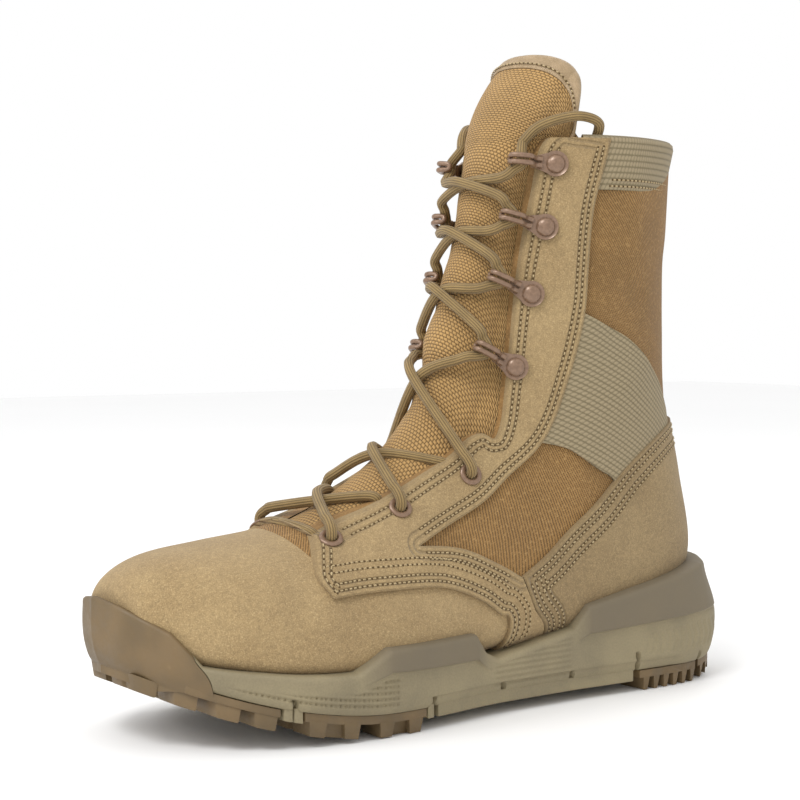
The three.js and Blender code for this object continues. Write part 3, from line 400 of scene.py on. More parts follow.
# %% Shader maths
class Value:
    """A number or colour that changes over a surface."""

    def __init__(self, finish, socket):
        self.finish, self.socket = finish, socket

    def maths(self, operation, *others):
        return self.finish.node("Math", {"operation": operation}, dict(enumerate((self, *others))))

    def __add__(self, other): return self.maths("ADD", other)
    def __radd__(self, other): return self.maths("ADD", other)
    def __sub__(self, other): return self.maths("SUBTRACT", other)
    def __mul__(self, other): return self.maths("MULTIPLY", other)
    def __rmul__(self, other): return self.maths("MULTIPLY", other)
    def __truediv__(self, other): return self.maths("DIVIDE", other)
    def __pow__(self, other): return self.maths("POWER", other)

    def __rsub__(self, other):
        return self.finish.node("Math", {"operation": "SUBTRACT"}, {0: other, 1: self})

    def abs(self): return self.maths("ABSOLUTE")
    def sin(self): return self.maths("SINE")
    def floor(self): return self.maths("FLOOR")
    def fract(self): return self.maths("FRACT")

    def ramp(self, start, end, low=0.0, high=1.0):
        """Rises smoothly from low to high while the value goes from start to end."""
        return self.finish.node("MapRange", {"interpolation_type": "SMOOTHSTEP"}, {
            "Value": self, "From Min": start, "From Max": end, "To Min": low, "To Max": high,
        })


def tone(code, gain=1.0):
    """A colour from its hexadecimal code, as a linear one."""
    parts = [int(code[k:k + 2], 16) / 255 for k in (1, 3, 5)]
    linear = [p / 12.92 if p <= 0.04045 else ((p + 0.055) / 1.055) ** 2.4 for p in parts]
    return (*[min(p * gain, 1) for p in linear], 1)


class Finish:
    """A material with one principled shader; constant settings go straight to its sockets."""

    def __init__(self, name, **constants):
        self.material = bpy.data.materials.new(name)
        self.material.use_nodes = True
        self.tree = self.material.node_tree
        self.shader = self.tree.nodes["Principled BSDF"]
        for key, value in constants.items():
            self.shader.inputs[key.replace("_", " ")].default_value = value

    def node(self, kind, settings=None, inputs=None, output=0):
        """Adds a node, sets it, fills its sockets with values or links, and gives one of its outputs."""
        node = self.tree.nodes.new("ShaderNode" + kind)
        for key, value in (settings or {}).items():
            setattr(node, key, value)
        for key, value in (inputs or {}).items():
            socket = node.inputs[key]
            if isinstance(value, Value):
                self.tree.links.new(value.socket, socket)
            else:
                socket.default_value = value
        return Value(self, node.outputs[output])

    def place(self):
        """Object coordinates in millimetres, as x, y and z."""
        vector = self.node("TexCoord", output=3)
        vector = self.node("VectorMath", {"operation": "SCALE"}, {0: vector, "Scale": 1000})
        split = self.node("SeparateXYZ", inputs={0: vector})
        outputs = split.socket.node.outputs
        return vector, *[Value(self, outputs[k]) for k in range(3)]

    def cloth(self):
        """The piece's own UV map in millimetres, as u and v."""
        split = self.node("SeparateXYZ", inputs={0: self.node("UVMap")})
        outputs = split.socket.node.outputs
        return Value(self, outputs[0]), Value(self, outputs[1])

    def attribute(self, name):
        return self.node("Attribute", {"attribute_name": name}, output=2)

    def noise(self, vector, pitch, detail=3.0, roughness=0.55):
        """Noise of about 0 to 1 whose patches are a pitch in millimetres wide."""
        return self.node("TexNoise", inputs={
            "Vector": vector, "Scale": 1 / pitch, "Detail": detail, "Roughness": roughness,
        })

    def mix(self, share, first, second):
        return self.node("Mix", {"data_type": "RGBA"}, {0: share, 6: first, 7: second}, output=2)

    def tint(self, colour, factor, strength=1.0):
        """Multiplies a colour by a grey value."""
        grey = self.node("CombineXYZ", inputs={0: factor, 1: factor, 2: factor})
        return self.node("Mix", {"data_type": "RGBA", "blend_type": "MULTIPLY"},
                         {0: strength, 6: colour, 7: grey}, output=2)

    def make(self, colour, height=None, depth=0.2, roughness=None):
        """Links a colour, a height in shares of a depth in millimetres, and a roughness."""
        self.tree.links.new(colour.socket, self.shader.inputs["Base Color"])
        if height is not None:
            bump = self.node("Bump", inputs={"Strength": 1.0, "Distance": depth * MM, "Height": height})
            self.tree.links.new(bump.socket, self.shader.inputs["Normal"])
        if roughness is not None:
            self.tree.links.new(roughness.socket, self.shader.inputs["Roughness"])
        return self.material


print("a mid grey as a linear colour:", np.round(tone("#808080"), 3))

# %% [markdown]
# Suede is the rough inner side of the hide. Close up it is a short nap: a fine grain, with larger patches
# that look darker or paler where the nap lies the other way. Near a cut edge it is pressed and a little
# worn, and each row of stitching lies in a shallow groove that is darkened with painted shade. The
# distance to the edge is kept on the mesh.

# %% Suede
SUEDE_TONE, SUEDE_DARK, SUEDE_PALE = "#a68e65", "#927a54", "#c2ab82"


def suede_finish(name, rows, gain=1.0):
    """Suede with stitch rows at the given distances in millimetres from the edge; gain darkens it, partly as
    painted shade.
    """
    finish = Finish(name, Roughness=0.95, Sheen_Weight=0.08, Sheen_Roughness=0.6)
    vector, x, y, z = finish.place()
    nap = finish.noise(vector, 0.5, 3)
    grain = finish.noise(vector, 1.6, 4, 0.65)
    patches = finish.noise(vector, 14, 4, 0.6)
    broad = finish.noise(vector, 48, 2)
    shade = (patches * 0.4 + broad * 0.6).ramp(0.25, 0.75)
    colour = finish.mix(shade, tone(SUEDE_DARK), tone(SUEDE_TONE))
    colour = finish.mix(nap.ramp(0.5, 0.8) * 0.45, colour, tone(SUEDE_PALE))
    fleck = grain.ramp(0.3, 0.7, 0.86, 1.08) * nap.ramp(0.25, 0.75, 0.84, 1.14)
    colour = finish.tint(colour, fleck * gain)
    height = nap * 0.45 + grain * 0.55
    if rows:
        edge = finish.attribute("seam")
        groove = 0
        for row in rows:
            groove = ((edge - row).abs() / 0.9).ramp(0, 1, 1, 0) + groove
        rim = edge.ramp(0.0, 0.8, 1, 0)
        colour = finish.mix(rim * 0.35, colour, tone("#7d6845"))
        # painted shade: the colour is darkened along each stitch groove
        colour = finish.tint(colour, 1 - groove * 0.16)
        height = height - groove * 1.4 - rim * 1.2
    return finish.make(colour, height, 0.4)


vamp_suede = suede_finish("vamp suede", ())
facing_suede = suede_finish("facing suede", (2.4, 4.8))
# the counter's gain of 0.79 is partly its own darker suede and partly painted shade for the boot's shaded
# rear
shaded_counter_suede = suede_finish("counter suede", (2.4, 4.8, 8.6, 11.0), gain=0.79)
print("nodes of the facings' suede:", len(facing_suede.node_tree.nodes))

# %% [markdown]
# Canvas is woven nylon. In the twill of the shaft each weft thread passes over two warps, one step on in
# every row, which gives the slanting ribs. The tongue is a coarse weave of plump grains, each row half a
# grain further on than the last. Both are drawn on the cloth's own UV map, in millimetres.

# %% Woven cloth
CANVAS_TONE, CANVAS_DARK, CANVAS_PALE = "#8f6c3c", "#59401d", "#a98755"


def twill_finish(name, pitch=1.4, slope=1.0, tones=(CANVAS_DARK, CANVAS_TONE, CANVAS_PALE), depth=0.3):
    """Cloth with slanting ribs, or with ribs along v where the slope is 0."""
    finish = Finish(name, Roughness=0.85, Sheen_Weight=0.06, Sheen_Roughness=0.5)
    vector, x, y, z = finish.place()
    u, v = finish.cloth()
    sway = finish.noise(vector, 9, 2) * 0.9
    rib = (((u * slope + v) / pitch + sway) * math.pi).sin().abs()
    thread = ((u * slope - v) / (pitch * 0.62) * math.pi).sin().abs()
    slub = finish.noise(vector, 1.1, 3, 0.7)
    height = rib * 0.7 + thread * 0.3 + slub * 0.35
    shade = (height * 0.75).ramp(0.25, 0.85)
    colour = finish.mix(shade, tone(tones[0]), tone(tones[1], 1.12))
    colour = finish.mix(slub.ramp(0.5, 0.7) * 0.7, colour, tone(tones[2]))
    colour = finish.tint(colour, finish.noise(vector, 22, 3).ramp(0.3, 0.7, 0.9, 1.06))
    return finish.make(colour, height, depth)


def basket_finish(name, pitch=1.62, tones=("#6b4e22", "#b8925a", "#d0b07c"), depth=0.6):
    """Coarse cloth of staggered grains, a little wider than high."""
    finish = Finish(name, Roughness=0.8, Sheen_Weight=0.06, Sheen_Roughness=0.5)
    vector, x, y, z = finish.place()
    u, v = finish.cloth()
    row = v / (pitch * 0.78)
    along = u / (pitch * 1.15) + (row.floor() * 0.5).fract()
    bead, thread = (along * math.pi).sin().abs() ** 0.8, (row * math.pi).sin().abs() ** 0.7
    under = (along * math.pi * 2).sin().abs() * 0.2
    height = bead * thread * 0.9 + under * thread
    slub = finish.noise(vector, 1.4, 3, 0.7)
    colour = finish.mix((height * 0.8 + slub * 0.25).ramp(0.1, 0.62), tone(tones[0]), tone(tones[1]))
    colour = finish.mix(slub.ramp(0.6, 0.8) * 0.5, colour, tone(tones[2]))
    colour = finish.tint(colour, finish.noise(vector, 18, 3).ramp(0.3, 0.7, 0.9, 1.05))
    return finish.make(colour, height + slub * 0.3, depth)


# %% Tape and leather
WEBBING_TONES = ("#73674c", "#97886b", "#b0a184")


def webbing_finish(name, direction, turned=False, pitch=1.55, across=1.9, tones=WEBBING_TONES):
    """Flat tape: stout ribs run along a direction in side view, or in rear view where it is turned."""
    finish = Finish(name, Roughness=0.85, Sheen_Weight=0.06, Sheen_Roughness=0.5)
    vector, x, y, z = finish.place()
    x = y if turned else x + y
    along = x * direction[0] + z * direction[1]
    off = z * direction[0] - x * direction[1]
    row = (off / pitch).floor()
    shift = (row * 0.5).fract() + (off / pitch).fract() * 0.5
    rib = (off / pitch * math.pi).sin().abs() ** 0.8
    stitch = ((along / across + shift) * math.pi).sin().abs()
    slub = finish.noise(vector, 1.0, 3, 0.7)
    height = rib * 0.35 + stitch * rib * 0.65 + slub * 0.3
    colour = finish.mix(height.ramp(0.2, 1.0), tone(tones[0]), tone(tones[1]))
    colour = finish.mix(slub.ramp(0.58, 0.8) * 0.5, colour, tone(tones[2]))
    return finish.make(colour, height, 0.3)


def hide_finish(name, base, dark):
    """Smooth full-grain leather with fine pebbling."""
    finish = Finish(name, Roughness=0.55, Coat_Weight=0.05)
    vector, x, y, z = finish.place()
    cells = finish.node("TexVoronoi", {"feature": "DISTANCE_TO_EDGE"}, {"Vector": vector, "Scale": 1 / 1.1})
    fine = finish.noise(vector, 4, 3)
    colour = finish.mix(fine.ramp(0.3, 0.7), tone(dark), tone(base))
    return finish.make(colour, cells.ramp(0, 0.12) + fine * 0.3, 0.08)


binding_leather = hide_finish("tongue binding leather", "#a8906f", "#97805f")
print("nodes of the binding's leather:", len(binding_leather.node_tree.nodes))

shaft_canvas = twill_finish("shaft twill")
tongue_cloth = basket_finish("tongue basket weave")
print("nodes of the shaft's twill:", len(shaft_canvas.node_tree.nodes))

# %% [markdown]
# The shell of the upper is one sheet of cloth laid over the whole form. It is closed at the toe, gets its
# wall by Solidify, and is then cut out along the throat, which the side view shows as one smooth line.

# %% Side-view outlines
OVER, UNDER, FAR_FROM_SEAM = 1.06, 0.02, 40


def side(rows):
    """Side-view points from shares of the length and of the shaft's height."""
    return [(x * LENGTH, z * SHAFT_HEIGHT) for x, z in rows]


THROAT_EDGE = side([
    (0.752, 0.372), (0.734, 0.322), (0.645, 0.363), (0.588, 0.393), (0.517, 0.437), (0.491, 0.461),
    (0.477, 0.473), (0.461, 0.479), (0.447, 0.468), (0.437, 0.485), (0.428, 0.522), (0.416, 0.615),
    (0.401, 0.744), (0.388, 0.838), (0.374, 0.943), (0.366, 0.985), (0.352, 1.006), (0.330, 1.012),
])
FACING_BACK = side([
    (0.280, 1.002), (0.306, 0.871), (0.316, 0.701), (0.337, 0.574), (0.375, 0.469), (0.434, 0.406),
    (0.488, 0.360), (0.567, 0.317), (0.599, 0.300),
])
BAND_TOP = side([(0.599, 0.300), (0.533, 0.290), (0.476, 0.259), (0.437, 0.232), (0.416, 0.173)])
BAND_SEAM = side([(0.416, 0.173), (0.387, 0.124), (0.383, UNDER)])
BAND_LOWER = side([
    (0.470, UNDER), (0.461, 0.154), (0.480, 0.175), (0.517, 0.205), (0.577, 0.231), (0.662, 0.236),
    (0.748, 0.232), (0.758, 0.267), (0.735, 0.322),
])
COUNTER_TOP = side([
    (0.435, 0.232), (0.390, 0.263), (0.348, 0.302), (0.292, 0.353), (0.241, 0.412), (0.194, 0.453),
    (0.143, 0.482), (0.090, 0.496), (0.0, 0.500), (-0.1, 0.496),
])
COUNTER_FRONT = side([(0.381, UNDER), (0.385, 0.124), (0.414, 0.173), (0.435, 0.232)])
WEB_TOP = side([
    (0.36, 0.715), (0.309, 0.685), (0.277, 0.666), (0.246, 0.648), (0.215, 0.621), (0.192, 0.594),
    (0.162, 0.559), (0.140, 0.515),
])
WEB_LOWER = side([
    (0.261, 0.330), (0.261, 0.385), (0.291, 0.411), (0.321, 0.436), (0.349, 0.453), (0.42, 0.470),
])
PITCH = 2.0

throat_line = curve_through(THROAT_EDGE[1:], PITCH)
facing_back_line = curve_through(FACING_BACK, PITCH)
band_top_line = curve_through(BAND_TOP[:4], PITCH)
band_seam_line = np.vstack([curve_through(BAND_TOP[3:], PITCH), curve_through(BAND_SEAM, PITCH)])
band_lower_line = curve_through(BAND_LOWER[:7], PITCH)
band_front_line = curve_through(BAND_LOWER[6:], PITCH)
counter_top_line = curve_through(COUNTER_TOP, PITCH)
counter_front_line = curve_through(COUNTER_FRONT, PITCH)
web_top_line = curve_through(WEB_TOP, PITCH)
web_lower_line = curve_through(WEB_LOWER, PITCH)


def prism(name, line, low, high):
    """A side-view outline pushed through from one y to another, as a solid to cut with."""
    line = [p for k, p in enumerate(line) if np.linalg.norm(np.subtract(p, line[k - 1])) > 0.2]
    count = len(line)
    points = [(x, low, z) for x, z in line] + [(x, high, z) for x, z in line]
    faces = [list(range(count)), list(range(2 * count - 1, count - 1, -1))]
    faces += [(k, k + count, (k + 1) % count + count, (k + 1) % count) for k in range(count)]
    tool = new_mesh(name, points, faces)
    edit_all(tool)
    bpy.ops.mesh.normals_make_consistent(inside=False)
    bpy.ops.mesh.quads_convert_to_tris(ngon_method="CLIP")
    close_edit()
    return tool


def line_distance(points, *lines):
    """Distance in side view from each point to the nearest of some lines."""
    flat = points[:, [0, 2]]
    best = np.full(len(flat), 1e9)
    for line in lines:
        line = np.asarray(line)
        for a, b in zip(line[:-1], line[1:]):
            run = b - a
            t = np.clip(((flat - a) @ run) / max(run @ run, 1e-9), 0, 1)
            best = np.minimum(best, np.linalg.norm(flat - a - t[:, None] * run, axis=1))
    return best


def keep_number(piece, name, values):
    """Stores a number on each vertex, for the finish to read."""
    attribute = piece.data.attributes.new(name, "FLOAT", "POINT")
    attribute.data.foreach_set("value", values.astype(np.float32))


def keep_seam(piece, *lines):
    """Stores the distance to some lines, in millimetres, as the piece's seam."""
    keep_number(piece, "seam", np.minimum(line_distance(get_points(piece), *lines), FAR_FROM_SEAM))


print("side-view lines:", len(throat_line), "points along the throat")


# %% Sheets over the form
CLOTH_GIRTH, CLOTH_RUN, TOE_END = 264, 420, 0.1


def form_sheet(name, distance, wall, columns=200, rows=190):
    """The whole form as a wall, closed at the toe; distance is its outer face above the form."""
    piece, u, v = sheet_grid(name, columns, rows)
    points = over_form(v, u * 2 * math.pi, distance)
    points[v > 1 - 1e-6, 2] = SHAFT_HEIGHT
    set_points(piece, points)
    scale_uv(piece, CLOTH_GIRTH, CLOTH_RUN)
    edit_all(piece)
    bpy.ops.mesh.remove_doubles(threshold=0.01 * MM)
    bpy.ops.mesh.select_all(action="DESELECT")
    mesh = bmesh.from_edit_mesh(piece.data)
    for edge in mesh.edges:
        middle = (edge.verts[0].co + edge.verts[1].co) / 2
        edge.select = edge.is_boundary and middle.x > TOE_END
    bmesh.update_edit_mesh(piece.data)
    bpy.ops.mesh.edge_face_add()
    bpy.ops.mesh.select_all(action="SELECT")
    bpy.ops.mesh.normals_make_consistent(inside=False)
    close_edit()
    apply_modifier(piece, "SOLIDIFY", thickness=wall * MM, offset=-1, use_even_offset=False)
    return piece


def copy_of(piece, name):
    twin = piece.copy()
    twin.data = piece.data.copy()
    twin.name = name
    bpy.context.scene.collection.objects.link(twin)
    return twin


def through(line):
    """A cutter that goes through both sides."""
    return prism("through", line, -BALL_WIDTH, BALL_WIDTH)


def with_side(line, sign):
    """A cutter that reaches one side only, from 3 mm off the middle outwards."""
    return prism("side", line, 3 if sign > 0 else -BALL_WIDTH, BALL_WIDTH if sign > 0 else -3)


print("cloth round the form:", CLOTH_GIRTH, "mm, along it:", CLOTH_RUN, "mm")

# %% Shell
SIDES = {"lateral": 1, "medial": -1}
SKY = 1.3 * SHAFT_HEIGHT
throat_outline = [*throat_line, (0.33 * LENGTH, SKY), (LENGTH, SKY), (LENGTH, 87), THROAT_EDGE[0]]
shell = form_sheet("shell", 0.0, WALL)
cut(shell, through(throat_outline))
smooth(shell)
finished(shell, shaft_canvas, "upper")

# %% [markdown]
# The toe box is suede. Its skin lies on the shell and runs back under the quarter band, so its hind edge
# never shows. It is cut from the same form, with a line a few millimetres behind the band's lower edge.

# %% Vamp
VAMP_LAP, VAMP_LIFT, VAMP_THICKNESS = 6, 0.28, 1.2
vamp_back = [(x + (-VAMP_LAP if z < 40 else -VAMP_LAP / 2), z + VAMP_LAP) for x, z in band_lower_line]
vamp_outline = [
    *vamp_back, (0.80 * LENGTH, 100), (LENGTH + 20, 100), (LENGTH + 20, -10), (vamp_back[0][0], -10),
]
vamp = form_sheet("vamp", VAMP_LIFT, VAMP_THICKNESS)
cut(vamp, through(vamp_outline), "INTERSECT")
cut(vamp, through(throat_outline))
smooth(vamp)
finished(vamp, vamp_suede)

# %% [markdown]
# Facings with their quarter band, heel counter, ankle webs and back strip are thicker layers over the
# shell. One layer is made once and copied, and each copy is cut by its own outline. What the finish needs
# to know, the distance to the cut edges, is stored on the vertices while the outline is at hand.

# %% Facings and counter
layer = form_sheet("layer", GAP + OVERLAY, OVERLAY + 0.2, columns=230, rows=230)
cut(layer, through(throat_outline))
facing_outline = [
    *facing_back_line, *band_top_line[1:], *band_seam_line[1:], *band_lower_line, *band_front_line[1:],
    *side([(0.78, 0.42), (0.78, OVER), (0.280, OVER)]),
]
facing_top_line = [(84, 233.5), (100, 235.5)]    # where the collar's level cuts the facings off
facings = {}
for word, sign in SIDES.items():
    facing = copy_of(layer, f"facing_{word}")
    cut(facing, with_side(facing_outline, sign), "INTERSECT")
    keep_seam(facing, facing_back_line, band_top_line, band_lower_line, band_front_line, throat_line[3:],
              facing_top_line)
    smooth(facing)
    finished(facing, facing_suede, f"eyestay_{word}")
    facings[sign] = facing

counter_outline = [*counter_top_line, *side([(-0.1, UNDER)]), *counter_front_line]
counter = copy_of(layer, "heel_counter")
cut(counter, through(counter_outline), "INTERSECT")
keep_seam(counter, counter_top_line, counter_front_line)
smooth(counter)
finished(counter, shaded_counter_suede, "counter")

# %% Ankle webs and back strip
web_finish = webbing_finish("ankle webbing", (0.86, 0.51), pitch=2.1)
web_outline = [*web_top_line, *side([(0.128, 0.440)]), *web_lower_line]
web_layer = form_sheet("web layer", GAP + 1.1, 1.3)
for word, sign in SIDES.items():
    web = copy_of(web_layer, f"ankle_webbing_{word}")
    cut(web, with_side(web_outline, sign), "INTERSECT")
    smooth(web)
    finished(web, web_finish, f"ankle_web_{word}")
bpy.data.objects.remove(layer)

STRIP_HALF, STRIP_BOTTOM, STRIP_TOP = 11, 0.498, 0.907
STRIP_TONES = ("#5f5237", "#8d7a52", "#a8966c")
strip_finish = webbing_finish("back strip tape", (0.0, 1.0), turned=True, pitch=1.7, tones=STRIP_TONES)
strip_outline = side([(-0.1, STRIP_BOTTOM), (0.2, STRIP_BOTTOM), (0.2, STRIP_TOP), (-0.1, STRIP_TOP)])
strip = web_layer
strip.name = "back_tape"
cut(strip, prism("strip cut", strip_outline, -STRIP_HALF, STRIP_HALF), "INTERSECT")
smooth(strip)
finished(strip, strip_finish, "back_strip")

# %% [markdown]
# The collar is bound with a broad tape that is folded over the edge. It is lofted from a section: up the
# outside, over the rim in a half round, and down a little inside. Its ends lie under the facings.

# %% Collar binding
RISE_PER_S = 200.3               # how far the form rises at the collar while s grows by 1
COLLAR_BOTTOM = 0.909 * SHAFT_HEIGHT
COLLAR_TOP = SHAFT_HEIGHT + 1.6
collar_section = [
    (1.5, COLLAR_BOTTOM), (1.5, COLLAR_BOTTOM + 6), (1.5, COLLAR_TOP - 3.2), (1.1, COLLAR_TOP - 1.2),
    (0.1, COLLAR_TOP - 0.2), (-0.9, COLLAR_TOP), (-2.1, COLLAR_TOP - 0.4), (-3.0, COLLAR_TOP - 1.6),
    (-3.3, COLLAR_TOP - 4), (-3.3, COLLAR_BOTTOM + 4), (-2.5, COLLAR_BOTTOM + 4),
    (-0.2, COLLAR_BOTTOM + 4), (-0.2, COLLAR_BOTTOM),
]
COLLAR_START = math.radians(62)
COLLAR_STEPS = 180
collar, u, v = sheet_grid("collar_binding", COLLAR_STEPS, len(collar_section) - 1)
index = np.round(v * (len(collar_section) - 1)).astype(int)
offsets, heights = np.array(collar_section)[index].T
collar_angle = COLLAR_START + u * (2 * math.pi - 2 * COLLAR_START)
collar_s = np.ones(len(u))
for _ in range(5):               # finds where on the tilted rings each height lies
    collar_s += (heights - over_form(collar_s, collar_angle, offsets)[:, 2]) / RISE_PER_S
    collar_s = np.minimum(collar_s, 1)
collar_points = over_form(collar_s, collar_angle, offsets)
collar_points[:, 2] = heights
set_points(collar, collar_points)
scale_uv(collar, 190, 40)
apply_modifier(collar, "SOLIDIFY", thickness=0.5 * MM, offset=-1)
smooth(collar, 50)
collar_finish = webbing_finish("collar webbing", (1.0, 0.0), pitch=2.5, across=1.6)
finished(collar, collar_finish, "collar_web")

# %% [markdown]
# The tongue is a padded cloth sheet that lies inside the throat. It is crowned in the middle, because the
# padding swells between the laces, and sinks towards its sides, where the facings press on it. A few
# soft folds cross it where the ankle bends. Its top is an arch, bound with smooth leather.

# %% Tongue
TONGUE_START = 6 / LAST_SECTION
TONGUE_HALF = math.radians(45)
TONGUE_THICKNESS = 5.5
BINDING_WIDTH = 7
TONGUE_FLARE, TONGUE_CROWN = 1.3, 6
# place and width in shares of the form, tilt of the trough and its depth in mm
TONGUE_FOLDS = [
    (0.655, 0.012, 0.10, -1.5), (0.69, 0.014, -0.05, 1.0), (0.735, 0.012, 0.06, -1.1),
    (0.60, 0.014, -0.12, -1.2), (0.82, 0.02, 0.05, -0.6), (0.90, 0.02, -0.08, 0.5),
]


def arch_top(share):
    """How far the tongue's upper edge rises above the collar."""
    return TONGUE_RISE * (0.06 + 0.94 * np.sqrt(np.clip(1 - np.abs(share) ** 2.1, 0, 1)))


def tongue_front(s, share):
    """Distance of the tongue's face from the form, below it."""
    crown = np.clip(1 - (share / 0.72) ** 2, 0, 1) ** 0.8
    low = np.clip((s - TONGUE_START) / 0.1, 0, 1)
    swelling = np.clip((s - 0.45) / 0.2, 0, 1)
    swell = -3.0 + crown * (0.3 + TONGUE_CROWN * swelling * swelling * (3 - 2 * swelling))
    fold = sum(depth * np.exp(-((s - place - tilt * share * 0.1) / width) ** 2)
               for place, width, tilt, depth in TONGUE_FOLDS)
    return swell * low - 3.0 * (1 - low) + fold * np.clip(1.1 - np.abs(share), 0, 1)


def tongue_angle(s, share):
    """The tongue opens a little wider above the collar."""
    t = np.clip((s - 0.955) / 0.045, 0, 1)
    return share * TONGUE_HALF * (1 + (TONGUE_FLARE - 1) * t * t * (3 - 2 * t))


def tongue_points(height_share, share, extra):
    """height_share runs from the tongue's root (0) to its upper edge (1)."""
    top = 1 + (arch_top(share) - BINDING_WIDTH + 2) / RISE_PER_S
    s = TONGUE_START + (top - TONGUE_START) * height_share
    return over_form(s, tongue_angle(s, share), tongue_front(s, share) + extra, above)


tongue, u, v = sheet_grid("tongue_cloth", 72, 230)
set_points(tongue, tongue_points(v, u * 2 - 1, 0))
scale_uv(tongue, 70, 225)
apply_modifier(tongue, "SOLIDIFY", thickness=TONGUE_THICKNESS * MM, offset=-1)
smooth(tongue, 50)
finished(tongue, tongue_cloth, "tongue")

# %% Tongue binding
# drop from the edge, share of the way from the front face to the back one, and how far it stands proud
binding_section = [
    (7.0, 0.0, 0.0), (6.7, 0.0, 0.5), (4.5, 0.0, 0.8), (2.2, 0.02, 0.9), (0.7, 0.14, 0.6), (0.05, 0.36, 0.2),
    (0.0, 0.6, 0.1), (0.6, 0.86, 0.3), (2.2, 1.0, 0.6), (4.5, 1.04, 0.6), (7.0, 1.04, 0.3),
]
binding_rows = len(binding_section) - 1
binding, u, v = sheet_grid("tongue_binding", 96, binding_rows)
drop, depth, proud = np.array(binding_section)[np.round(v * binding_rows).astype(int)].T
share = u * 2 - 1
top = 1 + (arch_top(share) - drop) / RISE_PER_S
offset = tongue_front(top, share) + 0.3 + proud - depth * (TONGUE_THICKNESS + 0.8)
set_points(binding, over_form(top, tongue_angle(top, share), offset, above))
tidy(binding)
apply_modifier(binding, "SOLIDIFY", thickness=0.7 * MM, offset=-1)
apply_modifier(binding, "SUBSURF", levels=1, render_levels=1)
smooth(binding, 60)
finished(binding, binding_leather, "tongue_binding")

# %% [markdown]
# The insole shows only from above. It is a thin layer of the form's inside, so the solid's own mesh gives
# its outline; it is merged, its hard edges are rounded, and it gets a ribbed cloth cover.

# %% Insole
EDGE_ANGLE = math.radians(28)


def rounded(piece, width):
    """Rounds all sharp edges."""
    shape = {"segments": 2, "limit_method": "ANGLE", "angle_limit": EDGE_ANGLE}
    apply_modifier(piece, "BEVEL", width=width * MM, **shape)
    smooth(piece, 40)


def refined(node, name, width):
    """A copy of a solid with flat parts dissolved into whole faces and its edges rounded."""
    piece = copy_of(frame["nodes"][node], name)
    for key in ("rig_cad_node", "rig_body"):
        if key in piece:
            del piece[key]
    piece.parent = None
    edit_all(piece)
    bpy.ops.mesh.remove_doubles(threshold=0.01 * MM)
    bpy.ops.mesh.dissolve_limited(angle_limit=math.radians(1))
    close_edit()
    rounded(piece, width)
    return piece


insole_finish = twill_finish("insole cover", 1.6, 0.0, ("#4d4230", "#6f6148", "#8b7b5c"), 0.15)
insole = refined("insole", "insole_cover", 0.8)
finished(insole, insole_finish, "insole")

# %% [markdown]
# Eyelets and hooks sit on the facings. A frame of axes on the leather gives each one its place: one axis
# ahead over the throat, one along the facing and one out of it.

# %% Frames on the facings
EYELETS = [(0.386, 33), (0.469, 38), (0.559, 44)]
HOOKS = [(0.705, 43), (0.800, 46), (0.886, 48), (0.963, 49)]
HOOK_TURNS = [8, 7, 7, 2]        # of the arms downwards, in degrees
ON_FACING = 2.4


def facing_frame(s, degrees, sign):
    """A place on a facing: its origin and the axes ahead, up and out."""
    angle = sign * math.radians(degrees)
    out = normals(np.array(s), np.array(angle))
    origin = over_form(np.array(s), np.array(angle), ON_FACING)
    ahead = on_form(s, angle - sign * 0.02) - on_form(s, angle + sign * 0.02)
    ahead = ahead - ahead @ out * out
    ahead /= np.linalg.norm(ahead)
    up = np.cross(out, ahead) * -sign
    return origin, ahead, up, out


def hook_frame(number, sign):
    """A hook's frame; its arm is turned a few degrees downwards."""
    origin, ahead, up, out = facing_frame(*HOOKS[number], sign)
    turn = math.radians(HOOK_TURNS[number])
    cos, sin = math.cos(turn), math.sin(turn)
    return origin, ahead * cos - up * sin, up * cos + ahead * sin, out


def at(place, ahead, up, out):
    """A point from its three distances on a facing's frame."""
    origin, a, b, c = place
    return origin + a * ahead + b * up + c * out


def seated(piece, place):
    """Moves a piece that was modelled at the origin, in millimetres, onto a facing's frame."""
    set_points(piece, np.array([at(place, *point) for point in raw_points(piece)]))


def joined(name, pieces):
    deselect()
    for piece in pieces:
        piece.select_set(True)
    bpy.context.view_layer.objects.active = pieces[0]
    bpy.ops.object.join()
    whole = bpy.context.object
    whole.name = name
    return whole


print("places on each facing:", len(EYELETS), "eyelets,", len(HOOKS), "hooks")

# %% [markdown]
# The metal is stamped steel with a pinkish-brown paint. Paint wears off at the edges of a hook first, where
# the lace rubs, and the dull steel shows.

# %% Hardware finish
def hardware_finish():
    finish = Finish("painted hardware", Metallic=0.3, Roughness=0.35, Coat_Weight=0.3, Coat_Roughness=0.2)
    vector, x, y, z = finish.place()
    fine = finish.noise(vector, 1.3, 4, 0.6)
    worn = finish.noise(vector, 3.5, 3, 0.7).ramp(0.66, 0.8)
    colour = finish.mix(fine.ramp(0.3, 0.7), tone("#775d49"), tone("#886c56"))
    colour = finish.mix(worn * 0.3, colour, tone("#a58a74"))
    return finish.make(colour, fine, 0.015, fine.ramp(0.3, 0.8, 0.3, 0.42))


hardware = hardware_finish()
print("nodes of the hardware's paint:", len(hardware.node_tree.nodes))

